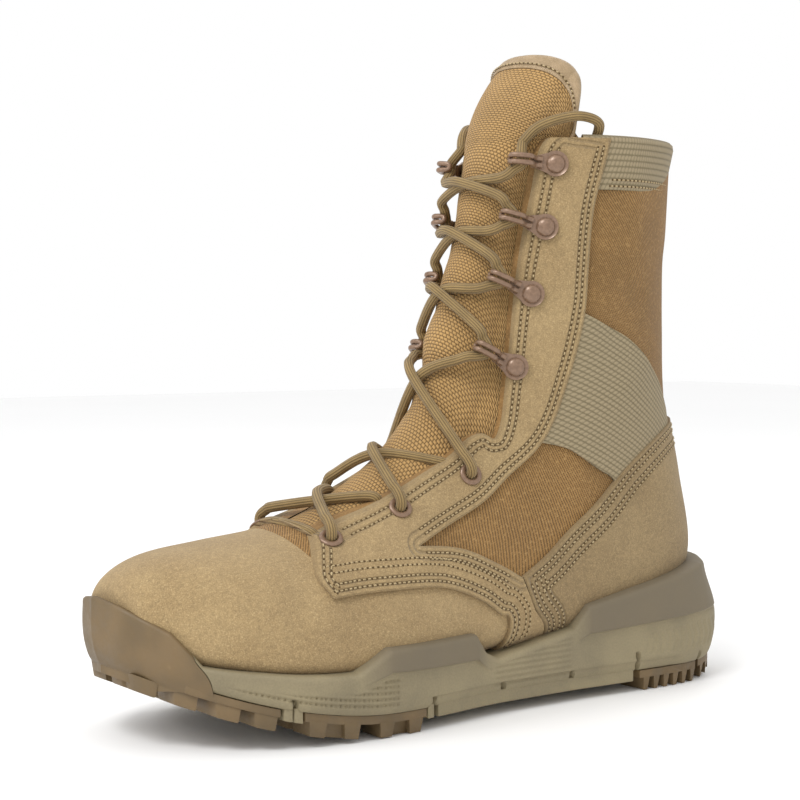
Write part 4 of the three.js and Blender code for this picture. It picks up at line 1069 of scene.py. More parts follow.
# %% Eyelets
RING_RADIUS, RING_WIRE, RING_FLATNESS, BORE = 3.55, 1.2, 0.62, 2.5
for word, sign in SIDES.items():
    for number, (s, degrees) in enumerate(EYELETS):
        deselect()
        bpy.ops.mesh.primitive_torus_add(major_segments=40, minor_segments=12, major_radius=RING_RADIUS,
                                         minor_radius=RING_WIRE)
        ring = bpy.context.object
        edit_all(ring)
        bpy.ops.transform.resize(value=(1, 1, RING_FLATNESS))
        close_edit()
        bpy.ops.mesh.primitive_cylinder_add(vertices=40, radius=BORE, depth=5, end_fill_type="NOTHING",
                                            location=(0, 0, -2.2))
        barrel = bpy.context.object
        bpy.ops.object.transform_apply(location=True)
        apply_modifier(barrel, "SOLIDIFY", thickness=0.4, offset=1)
        eyelet = joined(f"eyelet_ring_{word}_{number + 1}", [ring, barrel])
        seated(eyelet, facing_frame(s, degrees, sign))
        tidy(eyelet)
        smooth(eyelet, 50)
        finished(eyelet, hardware, f"eyelet_{word}_{number + 1}")

# %% [markdown]
# A hook is a drop-shaped plate with a raised rim, a domed rivet and a wire that leaves the plate, reaches
# over the lace, turns round and comes back. One is modelled in millimetres at the origin and then copied.

# %% Hook plate
PLATE_RADIUS, PLATE_THICKNESS, NECK = 5.4, 1.2, 2.6
PLATE_RIM, PLATE_SINK = 0.75, 0.45
round_end = np.radians(np.linspace(52, 308, 26))
drop_outline = [(PLATE_RADIUS * math.cos(a), PLATE_RADIUS * math.sin(a), 0) for a in round_end]
drop_outline += [(8.2, -NECK, 0), (10.2, -NECK + 0.2, 0), (10.2, NECK - 0.2, 0), (8.2, NECK, 0)]
hook_plate = new_mesh("hook_plate", drop_outline, [list(range(len(drop_outline)))], 0, 1)
edit_all(hook_plate)
bpy.ops.mesh.extrude_region_move(TRANSFORM_OT_translate={"value": (0, 0, PLATE_THICKNESS)})
bpy.ops.mesh.inset(thickness=PLATE_RIM)
bpy.ops.transform.translate(value=(0, 0, -PLATE_SINK))
close_edit()
plate_edge = {"width": 0.22, "segments": 3, "limit_method": "ANGLE", "angle_limit": math.radians(35)}
apply_modifier(hook_plate, "BEVEL", **plate_edge)
RIVET_RADIUS, RIVET_FLATNESS, RIVET_HEIGHT = 3.9, 0.5, 0.7
deselect()
bpy.ops.mesh.primitive_uv_sphere_add(segments=32, ring_count=14, radius=RIVET_RADIUS,
                                     location=(0, 0, RIVET_HEIGHT))
rivet = bpy.context.object
edit_all(rivet)
bpy.ops.transform.resize(value=(1, 1, RIVET_FLATNESS))
close_edit()
bpy.ops.object.transform_apply(location=True, rotation=True, scale=True)
print("hook plate:", len(hook_plate.data.polygons), "faces, rivet:", len(rivet.data.polygons))


# %% Tubes
RIDGES_ROUND = 6


def tube(name, points, radius, sides, ridges=0, shift=SHIFT, unit=MM):
    """A closed tube along points; its UV map runs round it and along it, in the points' own unit."""
    points = np.asarray(points, float)
    tangents = np.gradient(points, axis=0)
    tangents /= np.linalg.norm(tangents, axis=1, keepdims=True)
    across = np.cross(tangents[0], (0.31, 0.2, 0.93))
    across /= np.linalg.norm(across)
    turns = np.linspace(0, 2 * math.pi, sides, endpoint=False)
    verts, run = [], [0.0]
    for k, (point, tangent) in enumerate(zip(points, tangents)):
        across = across - across @ tangent * tangent
        across /= np.linalg.norm(across)
        third = np.cross(tangent, across)
        reach = radius * (1 + ridges * np.cos(turns * RIDGES_ROUND))
        ring = np.outer(np.cos(turns) * reach, across) + np.outer(np.sin(turns) * reach, third)
        verts.append(point + ring)
        if k:
            run.append(run[-1] + np.linalg.norm(point - points[k - 1]))
    count = len(points)
    faces = []
    for start in range(0, (count - 1) * sides, sides):
        for k in range(sides):
            after = (k + 1) % sides
            faces.append((start + k, start + after, start + sides + after, start + sides + k))
    faces += [list(range(sides))[::-1], list(range((count - 1) * sides, count * sides))]
    piece = new_mesh(name, np.vstack(verts), faces, shift, unit)
    layer = piece.data.uv_layers.new(name="UVMap").data
    girth = 2 * math.pi * radius
    spread = []
    for r in range(count - 1):
        for k in range(sides):
            a, b = k / sides * girth, (k + 1) / sides * girth
            spread += [a, run[r], b, run[r], b, run[r + 1], a, run[r + 1]]
    spread += [0.0] * (2 * 2 * sides)        # both end caps
    layer.foreach_set("uv", spread)
    return piece


print("ridges round a braided tube:", RIDGES_ROUND)

# %% Hooks
WIRE_RADIUS, WIRE_PITCH = 1.15, 0.45
WIRE_ROUTE = [
    (5.6, 1.3, 1.0), (7.8, 1.35, 1.4), (9.2, 1.4, 2.8), (9.9, 1.4, 4.8), (11.4, 1.4, 6.0), (15.6, 1.4, 6.1),
    (17.9, 1.4, 5.5), (18.7, 1.35, 3.4), (18.8, 1.2, 1.5), (18.8, 0.6, 0.6),
]
way_back = [(x, -y, z) for x, y, z in reversed(WIRE_ROUTE)]
hook_wire = tube("hook_wire", curve_through(WIRE_ROUTE + way_back, WIRE_PITCH), WIRE_RADIUS, 10, 0, 0, 1)
model_hook = joined("model_hook", [hook_plate, rivet, hook_wire])
for word, sign in SIDES.items():
    for number in range(len(HOOKS)):
        hook = copy_of(model_hook, f"hook_{word}_{number + 1}_painted")
        seated(hook, hook_frame(number, sign))
        tidy(hook, merge=0.001)
        smooth(hook, 40)
        finished(hook, hardware, f"hook_{word}_{number + 1}")
bpy.data.objects.remove(model_hook)

# %% [markdown]
# The lace is one cord with two runs that cross over the tongue. At an eyelet a run comes out of the bore,
# lies over its own facing, crosses the throat and dives under the other facing to the next eyelet. At a
# hook it passes behind the wire. Both runs are drawn as smooth lines through points on those frames.

# %% Lace runs
LACE_DIAMETER, LACE_PITCH, LACE_SIDES, LACE_RIDGES = 4.2, 0.9, 18, 0.05
LACE_OVER, LACE_UNDER = 3.4, 0.3
# points of the lace on a facing's frame: ahead, up and out
EYELET_OUT = [
    (0, 0, -3.2), (0, 0.1, -0.6), (0.5, 0.4, 1.6), (2.4, 1.2, 3.1), (6.0, 2.6, 2.9), (10.0, 4.2, 1.6),
]
EYELET_IN = [(12.5, -3.4, -4.4), (8.0, -2.2, -6.3), (3.5, -0.8, -6.6), (0.6, -0.1, -5.6)]
HOOK_TURN = [
    (22.0, -7.6, 0.2), (17.2, -4.0, 1.0), (14.0, -1.6, 1.5), (13.2, 0.2, 1.6), (14.4, 2.0, 1.5),
    (17.8, 4.2, 1.3), (22.4, 7.4, 0.9),
]
BAR_START = [(0, 0, -3.2), (0.6, -0.1, -5.2), (4, -1.2, -5.6), (10, -2.6, -4.0)]


def on_crest(s, lift):
    """A point above the middle of the tongue."""
    return over_form(np.array(s), np.array(0.0), tongue_front(np.array(s), np.array(0.0)) + lift, above)


def along_frame(place, points):
    return [at(place, *point) for point in points]


def run_of(first_side):
    """Points of a run that starts in the lowest eyelet of one side."""
    places = EYELETS + HOOKS
    route, side_now = [], first_side
    for number, (s, degrees) in enumerate(places):
        if number < len(EYELETS):
            place = facing_frame(s, degrees, side_now)
            if number:
                route += along_frame(place, EYELET_IN)
            route += along_frame(place, EYELET_OUT)
        else:
            route += along_frame(hook_frame(number - len(EYELETS), side_now), HOOK_TURN)
        if number < len(places) - 1:
            next_s = places[number + 1][0]
            on_top = (number % 2 == 0) == (first_side > 0)
            lift = LACE_DIAMETER / 2 + (LACE_OVER if on_top else LACE_UNDER)
            route.append(on_crest((s + next_s) / 2, lift))
        side_now = -side_now
    return route


def lace_tube(name, route, pitch=LACE_PITCH):
    return tube(name, curve_through(route, pitch), LACE_DIAMETER / 2, LACE_SIDES, LACE_RIDGES)


END_ROUTES = {
    "lateral": [
        (116, 21.5, 232), (112, 26, 238), (105, 31, 241.5), (96, 35, 243), (88, 37, 240.5),
        (85.5, 32.5, 234), (86.5, 31, 226), (87.5, 30, 220),
    ],
    "medial": [
        (116, -21, 232), (112, -25.5, 238.5), (105, -31, 242.5), (97, -34, 243), (90, -34, 239),
        (88, -30.5, 231.5), (88, -28.5, 224),
    ],
}
print("points in a run:", len(run_of(1)))


# %% Lace finish
STRANDS_ROUND, STRAND_PITCH = 12, 1.1


def lace_finish():
    """A round braid whose strands lie in lengthwise ridges, with small slanting stitches across them."""
    finish = Finish("lace braid", Roughness=0.75, Sheen_Weight=0.1, Sheen_Roughness=0.5)
    vector, x, y, z = finish.place()
    u, v = finish.cloth()
    girth = math.pi * LACE_DIAMETER
    ridge = (u / girth * STRANDS_ROUND * math.pi).sin().abs() ** 0.7
    slant = ((u / girth * STRANDS_ROUND + v / STRAND_PITCH) * math.pi).sin().abs()
    strand = ridge * 0.75 + ridge * slant * 0.25
    slub = finish.noise(vector, 0.7, 3, 0.7)
    colour = finish.mix((strand * 0.8 + slub * 0.3).ramp(0.15, 1.0), tone("#5e4a29"), tone("#947b4d"))
    colour = finish.tint(colour, finish.noise(vector, 8, 2).ramp(0.3, 0.7, 0.88, 1.06))
    return finish.make(colour, strand + slub * 0.2, 0.25)


lace_braid = lace_finish()
print("nodes of the lace's braid:", len(lace_braid.node_tree.nodes))

# %% Crossings and bar
BAR_FORWARD, BAR_LIFT, END_LAP = 0.012, 0.6, 0.12
lace_parts = []
for word, sign in SIDES.items():
    # the run ends on its last hook, where the tucked end starts
    end_start, end_next = np.array(END_ROUTES[word][:2], float)
    route = run_of(sign)[:-2] + [end_start, end_start + (end_next - end_start) * END_LAP]
    lace_parts.append(lace_tube(f"run_{word}", route))
outer_half, inner_half = (along_frame(facing_frame(*EYELETS[0], sign), BAR_START) for sign in SIDES.values())
bar_middle = on_crest(EYELETS[0][0] - BAR_FORWARD, LACE_DIAMETER / 2 + BAR_LIFT)
lace_parts.append(lace_tube("bar", [*outer_half, bar_middle, *inner_half[::-1]]))
lace = joined("lace", lace_parts)
smooth(lace, 60)
finished(lace, lace_braid, "lace_bar", *[f"lace_crossing_{k}" for k in range(1, 7)])

# %% Lace ends
END_PITCH = 1.0
for word, points in END_ROUTES.items():
    end = lace_tube(f"lace_tail_{word}", points, END_PITCH)
    smooth(end, 60)
    finished(end, lace_braid, f"lace_end_{word}")
    path = (curve_through(points, END_PITCH) + SHIFT) * MM

# %% [markdown]
# The sole is a foam cup with a rubber tread. Its edge follows one outline; above it stand a rim and raised
# panels whose heights are given along the length. The fine mesh starts as a grid that is folded round the
# sole like a sheet of clay, so that ribs and steps can be pressed into it before the boot's hollow is cut.

# %% Sole outline
CUP_WALL, SOLE_EDGE_HEIGHT, WING_RAISE, HEEL_TUCK, HEEL_STEP = 4.5, 58, 2, 6.5, 1.8
HEEL_BEVEL, BEVEL_END, TREAD_EDGE, TREAD_DEPTH, LUG_DEPTH = 6, 0.09, 3, 9, 5.5
ARCH_CLEARANCE, PAD_CLEARANCE, DRAFT, RIM_ROUND, FOAM_FLARE = 4.5, 2.5, 0.8, 2.4, 0.6

# x in shares of the length; outer and inner edge in shares of the sole's width
OUTLINE = np.array([
    (0.000, 0.000, 0.000), (0.012, 0.215, -0.200), (0.050, 0.378, -0.350), (0.120, 0.482, -0.452),
    (0.250, 0.506, -0.470), (0.370, 0.493, -0.436), (0.500, 0.455, -0.391), (0.630, 0.495, -0.430),
    (0.720, 0.514, -0.477), (0.820, 0.477, -0.491), (0.900, 0.379, -0.421), (0.960, 0.224, -0.299),
    (0.990, 0.093, -0.206), (1.000, -0.056, -0.056),
])
# x, rim, lower line of the raised panels, how far they stand out, how far the rim leans in
RIM = np.array([
    (0.000, 0.92, 0.55, 0.6, 1.0), (0.077, 0.89, 0.54, 1.0, 0.5), (0.230, 0.77, 0.50, 1.0, 0.0),
    (0.320, 0.69, 0.48, 1.0, 0.0), (0.343, 0.53, 0.42, 0.0, 0.0), (0.483, 0.40, 0.31, 0.0, 0.0),
    (0.507, 0.46, 0.34, 0.3, 0.0), (0.530, 0.60, 0.42, 1.0, 0.0), (0.680, 0.59, 0.43, 1.0, 0.0),
    (0.727, 0.43, 0.33, 0.0, 0.0), (0.847, 0.36, 0.27, 0.0, 0.0), (0.917, 0.30, 0.22, 0.0, 0.0),
    (0.947, 0.45, 0.30, 0.0, 0.0), (1.000, 0.53, 0.38, 0.0, 0.0),
])
OUTER_EDGE, INNER_EDGE = 1, 2


def tread(x):
    """How far the underside rises at x: at the toe and at the bevelled heel."""
    return spring(x) + HEEL_BEVEL * np.clip(1 - x / LENGTH / BEVEL_END, 0, 1) ** 2


def edge_y(x, k):
    """Edge of the sole at a share of the length: straight at both ends, a smooth curve between."""
    row = int(np.clip(np.searchsorted(OUTLINE[:, 0], x, side="right") - 1, 0, len(OUTLINE) - 2))
    a, b = OUTLINE[row], OUTLINE[row + 1]
    t = (x - a[0]) / (b[0] - a[0])
    if 0.05 < x < 0.96:
        before, after = OUTLINE[max(row - 1, 0)], OUTLINE[min(row + 2, len(OUTLINE) - 1)]
        reach = b[0] - a[0]
        start = (b[k] - before[k]) / (b[0] - before[0]) * reach
        end = (after[k] - a[k]) / (after[0] - a[0]) * reach
        y = (a[k] * (2 * t ** 3 - 3 * t ** 2 + 1) + start * (t ** 3 - 2 * t ** 2 + t)
             + b[k] * (3 * t ** 2 - 2 * t ** 3) + end * (t ** 3 - t ** 2))
    else:
        y = a[k] + (b[k] - a[k]) * t
    share = np.clip((x - 0.3) / 0.3, 0, 1)
    share = share * share * (3 - 2 * share)
    return y * (HEEL_WIDTH + (BALL_WIDTH - HEEL_WIDTH) * share + 2 * CUP_WALL)


def smoothed(line, times):
    """Evens out a row of points between its ends, in place."""
    for _ in range(times):
        line[1:-1] = (line[:-2] + 2 * line[1:-1] + line[2:]) / 4


def edge_line(k):
    """The whole edge of one side from heel to toe, rounded at both ends, with its outward normals."""
    xs = (1 - np.cos(np.linspace(0, math.pi / 2, 40))) * 0.06
    xs = np.concatenate([xs, np.linspace(0.06, 0.94, 260)[1:-1], 1 - xs[::-1]])
    line = np.array([(x * LENGTH, edge_y(x, k)) for x in xs])
    smoothed(line, 3)
    run = np.concatenate([[0], np.cumsum(np.linalg.norm(np.diff(line, axis=0), axis=1))])
    places = np.linspace(0, run[-1], EDGE_STEPS + 1)
    line = np.stack([np.interp(places, run, line[:, j]) for j in range(2)], -1)
    smoothed(line, 20)
    along = np.gradient(line, axis=0)
    along /= np.linalg.norm(along, axis=1, keepdims=True)
    out = np.stack([-along[:, 1], along[:, 0]], -1) * (1 if k == OUTER_EDGE else -1)
    out[0], out[-1] = (-1, 0), (1, 0)
    smoothed(out, 6)
    out /= np.linalg.norm(out, axis=1, keepdims=True)
    return line, out


def soft_step(value, start, end):
    """Goes smoothly from 0 at the start to 1 at the end."""
    t = np.clip((value - start) / (end - start), 0, 1)
    return t * t * (3 - 2 * t)


print("sole outline:", len(OUTLINE), "rows, rim:", len(RIM), "rows")

# %% Side of the sole
EDGE_STEPS = 460
FLEX_CUTS = [0.812, 0.600, 0.470, 0.345, 0.224, 0.092]
CUT_DEPTH, CUT_HALF, CUT_LEAN, CUT_TOP, TALL_CUT, TALL_CUT_MORE = 3.0, 0.85, 0.18, 13.0, 0.224, 4
RIB_PITCH, DASH_PITCH, FORE_RIB, WAIST_RIB = 2.3, 2.0, 1.05, 0.5
WAVE_PITCH, WAVE_SWAY, WAVE_DEPTH, LEDGE_DEPTH, LEDGE_TOP = 4.2, 1.4, 0.55, 0.9, 12.6
BELLY_HEIGHT, BELLY_SPREAD = 25, 8


def between(value, start, end, soft):
    """1 between two limits and 0 outside them, with soft ends inside."""
    return soft_step(value, start, start + soft) * (1 - soft_step(value, end - soft, end))


def side_inset(x, h, rubber):
    """How far the side lies inside the outline at x and at a height above the tread's curve."""
    share = x / LENGTH
    rim, line, panel, tuck = (np.interp(share, RIM[:, 0], RIM[:, k]) for k in range(1, 5))
    rim, line = rim * SOLE_EDGE_HEIGHT, line * SOLE_EDGE_HEIGHT
    at_heel = 1 - soft_step(share, 0.0, 0.16)
    at_toe = soft_step(share, 0.93, 0.99)
    foot, round_top = (LUG_DEPTH, 24.0) if rubber else (TREAD_DEPTH, TREAD_DEPTH + 7 + 9 * at_heel)
    curl = np.clip((round_top - h) / (round_top - foot), 0, 1)
    belly = FOAM_FLARE - at_heel * (1.2 + 0.9 * np.exp(-((h - BELLY_HEIGHT) / BELLY_SPREAD) ** 2))
    inset = belly + (TREAD_EDGE - belly + 2.5 * at_toe) * (1 - np.sqrt(1 - curl ** 2 * 0.98))
    wing_crown = 1 - 0.2 * soft_step(h, line + 1, rim)
    inset -= panel * WING_RAISE * soft_step(h, line - 0.6, line + 0.8) * wing_crown
    inset += tuck * HEEL_TUCK * soft_step(h, line - 1, rim)
    inset += at_heel * HEEL_STEP * soft_step(h, line - 1.4, line + 0.6)
    inset += at_toe * 0.6 * soft_step(h, 12, rim)
    corner = np.clip((h - rim + RIM_ROUND) / RIM_ROUND, 0, 1)
    inset += RIM_ROUND * (1 - np.sqrt(np.clip(1 - corner ** 2, 0, 1)))
    if rubber:
        return inset
    below = 1 - soft_step(h, line - 2.6, line - 1.2)
    above_tread = soft_step(h, TREAD_DEPTH + 2.0, TREAD_DEPTH + 3.0)
    fore, waist = between(share, 0.655, 0.90, 0.015), between(share, 0.345, 0.50, 0.015)
    heel = between(share, 0.0, 0.23, 0.03)
    rows = 0.5 - 0.5 * np.cos(2 * math.pi * h / RIB_PITCH)
    dashes = 0.6 + 0.4 * np.cos(2 * math.pi * x / DASH_PITCH)
    inset += FORE_RIB * rows * below * above_tread * fore * dashes
    rim_gap = 1 - soft_step(h, rim - 3.4, rim - 2.4)
    inset += WAIST_RIB * rows * above_tread * waist * rim_gap
    waves = 0.5 + 0.5 * np.sin(2 * math.pi * (x + WAVE_SWAY * np.sin(h / 2.6)) / WAVE_PITCH)
    inset += WAVE_DEPTH * waves * heel * soft_step(h, 15, 16.5) * (1 - soft_step(h, line - 5, line - 3.6))
    ledge = soft_step(share, 0.13, 0.16) * (1 - soft_step(share, 0.60, 0.62))
    inset += LEDGE_DEPTH * ledge * (1 - soft_step(h, LEDGE_TOP, LEDGE_TOP + 1))
    for cut_at in FLEX_CUTS:
        top = CUT_TOP + TALL_CUT_MORE * (cut_at == TALL_CUT)
        off = (share - cut_at) * LENGTH - (h - TREAD_DEPTH) * CUT_LEAN
        inset += CUT_DEPTH * np.exp(-(off / CUT_HALF) ** 4) * (1 - soft_step(h, top - 0.6, top + 0.6))
    return inset


print("side at the heel:", np.round(side_inset(np.zeros(3), np.array([12.0, 25.0, 45.0]), False), 2))


# %% Sole body
BLEND_HEIGHT, TOE_DROP = 10, 3.2


def sole_body(name, bottom, levels, rubber):
    """The filled body: a grid folded round both sides, from the underside up to the rim and over."""
    sides = [edge_line(k) for k in (OUTER_EDGE, INNER_EDGE)]
    piece, u, v = sheet_grid(name, EDGE_STEPS, 2 * levels - 1)
    column = np.round(u * EDGE_STEPS).astype(int)
    row = np.round(v * (2 * levels - 1)).astype(int)
    points = np.zeros((len(u), 3))
    for number, (line, out) in enumerate(sides):
        chosen = (row < levels) if number == 0 else (row >= levels)
        level = (row if number == 0 else 2 * levels - 1 - row)[chosen]
        at_edge, outward = line[column[chosen]], out[column[chosen]]
        x = at_edge[:, 0]
        rim = np.interp(x / LENGTH, RIM[:, 0], RIM[:, 1]) * SOLE_EDGE_HEIGHT
        low = bottom - (TOE_DROP * soft_step(x / LENGTH, 0.935, 0.97) if rubber else 0)
        h = low + (rim - low) * level / (levels - 1)
        inset = side_inset(x, h, rubber)
        flat = at_edge - outward * inset[:, None]
        blend = soft_step(h, TREAD_DEPTH, TREAD_DEPTH + BLEND_HEIGHT)
        rise = tread(flat[:, 0]) * (1 - blend) + spring(flat[:, 0]) * blend
        points[chosen] = np.column_stack([flat, h + rise])
    set_points(piece, points)
    close_grid(piece, EDGE_STEPS, 2 * levels - 1)
    return piece


def close_grid(piece, columns, rows):
    """Closes a grid that was folded round a solid: its first and last rows meet underneath."""
    last = rows * (columns + 1)
    built = bmesh.new()
    built.from_mesh(piece.data)
    built.verts.ensure_lookup_table()
    for k in range(columns):
        built.faces.new([built.verts[i] for i in (k + 1, k, last + k, last + k + 1)])
    built.to_mesh(piece.data)
    built.free()
    tidy(piece, merge=0.02)


def filled_form(name, distance):
    """The form as a filled solid, grown by a distance and carried on above the collar."""
    piece, u, v = sheet_grid(name, 200, 190)
    points = over_form(v, u * 2 * math.pi, distance)
    points[v > 1 - 1e-6, 2] = SHAFT_HEIGHT + 20
    set_points(piece, points)
    edit_all(piece)
    bpy.ops.mesh.remove_doubles(threshold=0.01 * MM)
    bpy.ops.mesh.select_all(action="SELECT")
    bpy.ops.mesh.fill_holes(sides=400)
    bpy.ops.mesh.select_all(action="SELECT")
    bpy.ops.mesh.normals_make_consistent(inside=False)
    bpy.ops.mesh.quads_convert_to_tris()
    close_edit()
    return piece


cup_hollow = filled_form("cup hollow", 0.1)
print("cup hollow:", len(cup_hollow.data.polygons), "faces")


# %% Blocks of the tread
def tread_y(x, share, inset=TREAD_EDGE):
    """A y at a share of the half width; 1 and -1 are the tread's edges."""
    k = OUTER_EDGE if share >= 0 else INNER_EDGE
    low, high = max(0, x - 0.004), min(1, x + 0.004)
    along = np.array([(high - low) * LENGTH, edge_y(high, k) - edge_y(low, k)])
    along /= np.linalg.norm(along)
    y = edge_y(x, k) - along[0] * inset * (1 if k == OUTER_EDGE else -1)
    return abs(share) * y


def block(start, end, low, high, bottom, top, taper=0.0, steps=3, inset=TREAD_EDGE):
    """A block that follows the tread's curve, between shares of the length and of the half width."""
    points, faces = [], []
    for step in range(steps + 1):
        x = (start + (end - start) * step / steps) * LENGTH
        foot = start * LENGTH + taper + ((end - start) * LENGTH - 2 * taper) * step / steps
        y0, y1 = tread_y(x / LENGTH, low, inset), tread_y(x / LENGTH, high, inset)
        z, foot_z = top + float(tread(x)), bottom + float(tread(foot))
        points += [(foot, y0 + taper, foot_z), (foot, y1 - taper, foot_z), (x, y1, z), (x, y0, z)]
    for step in range(steps):
        a = step * 4
        faces += [(a + k, a + (k + 1) % 4, a + 4 + (k + 1) % 4, a + 4 + k) for k in range(4)]
    faces += [(3, 2, 1, 0), tuple(steps * 4 + k for k in range(4))]
    piece = new_mesh("block", points, faces)
    tidy(piece)
    return piece


print("outer edge of the tread at the ball:", round(tread_y(0.72, 1), 1), "mm")

# %% [markdown]
# Foam is matt and a little chalky, with a faint skin; rubber is browner, smoother and picks up dust in
# its corners. Both are mixed from noise at two scales, and neither has a sharp shine.

# %% Foam and rubber finishes
def foam_finish():
    finish = Finish("olive foam", Roughness=0.72)
    vector, x, y, z = finish.place()
    skin = finish.noise(vector, 0.8, 3)
    cloud = finish.noise(vector, 26, 3)
    colour = finish.mix(cloud.ramp(0.3, 0.7), tone("#7e7359"), tone("#8f8366"))
    colour = finish.tint(colour, skin.ramp(0.3, 0.7, 0.93, 1.04))
    wing_colour = finish.mix(cloud, tone("#625846"), tone("#706451"))
    colour = finish.mix(finish.attribute("wing") * 0.85, colour, wing_colour)
    return finish.make(colour, skin, 0.06, cloud.ramp(0.3, 0.7, 0.62, 0.78))


def rubber_finish():
    finish = Finish("brown rubber", Roughness=0.6)
    vector, x, y, z = finish.place()
    skin = finish.noise(vector, 0.7, 3)
    cloud = finish.noise(vector, 20, 3)
    dust = finish.noise(vector, 5, 4, 0.7)
    colour = finish.mix(cloud.ramp(0.3, 0.7), tone("#615035"), tone("#735e3f"))
    colour = finish.mix(dust.ramp(0.6, 0.8) * 0.15, colour, tone("#9a8666"))
    return finish.make(colour, skin, 0.05, dust.ramp(0.3, 0.7, 0.5, 0.68))


foam = foam_finish()
rubber = rubber_finish()
print("nodes of the foam:", len(foam.node_tree.nodes), "and of the rubber:", len(rubber.node_tree.nodes))

# %% Midsole
BUMPER_EDGE = side([(0.922, 0.146), (0.905, 0.103), (0.893, 0.0)])
BUMPER_BELOW, BUMPER_ABOVE, BEYOND = -30, 120, 30
bumper_line = [tuple(point) for point in curve_through(BUMPER_EDGE, 2.0)]
(top_x, _), (low_x, _) = BUMPER_EDGE[0], BUMPER_EDGE[-1]
bumper_side = [
    *bumper_line, (low_x, BUMPER_BELOW), (LENGTH + BEYOND, BUMPER_BELOW), (LENGTH + BEYOND, BUMPER_ABOVE),
    (top_x, BUMPER_ABOVE),
]
midsole_side = [
    *[(x - GAP, z) for x, z in bumper_line], (low_x - GAP, BUMPER_BELOW), (-BEYOND, BUMPER_BELOW),
    (-BEYOND, BUMPER_ABOVE), (top_x - GAP, BUMPER_ABOVE),
]
midsole = sole_body("midsole_foam", TREAD_DEPTH, 62, False)
cut(midsole, cup_hollow, keep_tool=True)
cut(midsole, through(midsole_side), "INTERSECT")
smooth(midsole, 32)
x, _, z = get_points(midsole).T
panel_foot, raised = (np.interp(x / LENGTH, RIM[:, 0], RIM[:, k]) for k in (2, 3))
above_foot = z - spring(x) - panel_foot * SOLE_EDGE_HEIGHT
keep_number(midsole, "wing", raised * soft_step(above_foot, -0.4, 0.8))
print("midsole:", len(midsole.data.polygons))

# %% Arch blocks
arch = [block(0.230, 0.594, -1, 1, ARCH_CLEARANCE, TREAD_DEPTH + 1, steps=12)]
PAD_COLUMNS = [(-0.88, -0.36), (-0.26, 0.26), (0.42, 0.90)]
PAD_ROWS = [(0.243, 0.332), (0.358, 0.456), (0.484, 0.582)]
for start, end in PAD_ROWS:
    for low, high in PAD_COLUMNS:
        inner_y, inner_x = (high - low) * 0.2, (end - start) * 0.22
        arch.append(block(start, end, low, high, PAD_CLEARANCE + 0.6, ARCH_CLEARANCE + 0.3, 1.2))
        arch.append(block(start + inner_x, end - inner_x, low + inner_y, high - inner_y, PAD_CLEARANCE,
                          PAD_CLEARANCE + 0.8, 0.5))
FLEX_BARS = [(0.601, 0.612), (0.800, 0.811), (0.813, 0.824)]
for start, end in FLEX_BARS:
    arch.append(block(start, end, -1, 1, ARCH_CLEARANCE, TREAD_DEPTH + 1, steps=1))
arch = joined("arch_blocks", arch)
rounded(arch, 0.5)
finished(arch, foam)
finished(midsole, foam, "midsole")

# %% Toe piece
bumper = sole_body("toe_rubber", LUG_DEPTH, 56, True)
cut(bumper, cup_hollow)
cut(bumper, through(bumper_side), "INTERSECT")
smooth(bumper, 32)
TOE_LUG_ROWS = [(0.830, 0.858), (0.872, 0.900), (0.914, 0.938), (0.950, 0.972)]
TOE_LUG_COLUMNS = [(-1, -0.44), (-0.28, 0.28), (0.44, 1)]
TOE_LUG_INSETS = [0.4, 0.8, 3.4, 5.2]
toe_blocks = [block(0.8275, 0.93, -1, 1, LUG_DEPTH, TREAD_DEPTH - GAP, steps=8)]
for (start, end), more in zip(TOE_LUG_ROWS, TOE_LUG_INSETS):
    for low, high in TOE_LUG_COLUMNS:
        toe_blocks.append(block(start, end, low, high, 0, LUG_DEPTH + 0.6, DRAFT, inset=TREAD_EDGE + more))
toe_blocks = joined("toe_lugs", toe_blocks)
rounded(toe_blocks, 0.55)
finished(toe_blocks, rubber)
finished(bumper, rubber, "toe_bumper")

# %% Pods under ball and heel
PODS = [
    "forefoot_pod_lateral", "forefoot_pod_centre", "forefoot_pod_medial", "heel_pod_lateral",
    "heel_pod_medial", "heel_tip_lateral", "heel_tip_medial",
]
for node in PODS:
    pod = refined(node, node + "_rubber", 0.5)
    finished(pod, rubber, node)

# %% [markdown]
# Stitching holds the boot together and shows everywhere. Each stitch is a short pale thread that dips into
# the leather at both ends, where the needle left a small hole; the shade in each hole is painted as a dark
# disc. Rows run at fixed distances from a cut edge, so each row is that edge's line moved sideways and
# dropped onto the surface from the side.

# %% Lines and rays
FAR_OUT, GRAZING = 150, 0.12     # where a line of sight starts, and the least turn towards it


def moved(line, distance):
    """A side-view line moved to its left by a distance."""
    line = np.asarray(line, float)
    along = np.gradient(line, axis=0)
    along /= np.maximum(np.linalg.norm(along, axis=1, keepdims=True), 1e-9)
    return line + np.stack([-along[:, 1], along[:, 0]], -1) * distance


def surface_tree(piece):
    return BVHTree.FromObject(piece, bpy.context.evaluated_depsgraph_get())


def dropped(tree, x, z, sign):
    """The point and normal where a line of sight from one side first meets a piece."""
    start = (Vector((x, sign * FAR_OUT, z)) + Vector(SHIFT)) * MM
    place, normal, _, _ = tree.ray_cast(start, Vector((0, -sign, 0)))
    if place is None or abs(normal.y) < GRAZING:
        return None
    return np.array(place) / MM - SHIFT, np.array(normal)


print("left of a line along x:", moved([(0, 0), (1, 0), (2, 0)], 1.0)[0])


# %% One stitch
STITCH_PITCH, STITCH_LENGTH, THREAD = 2.2, 1.45, 0.3
ROD_SIDES = 6
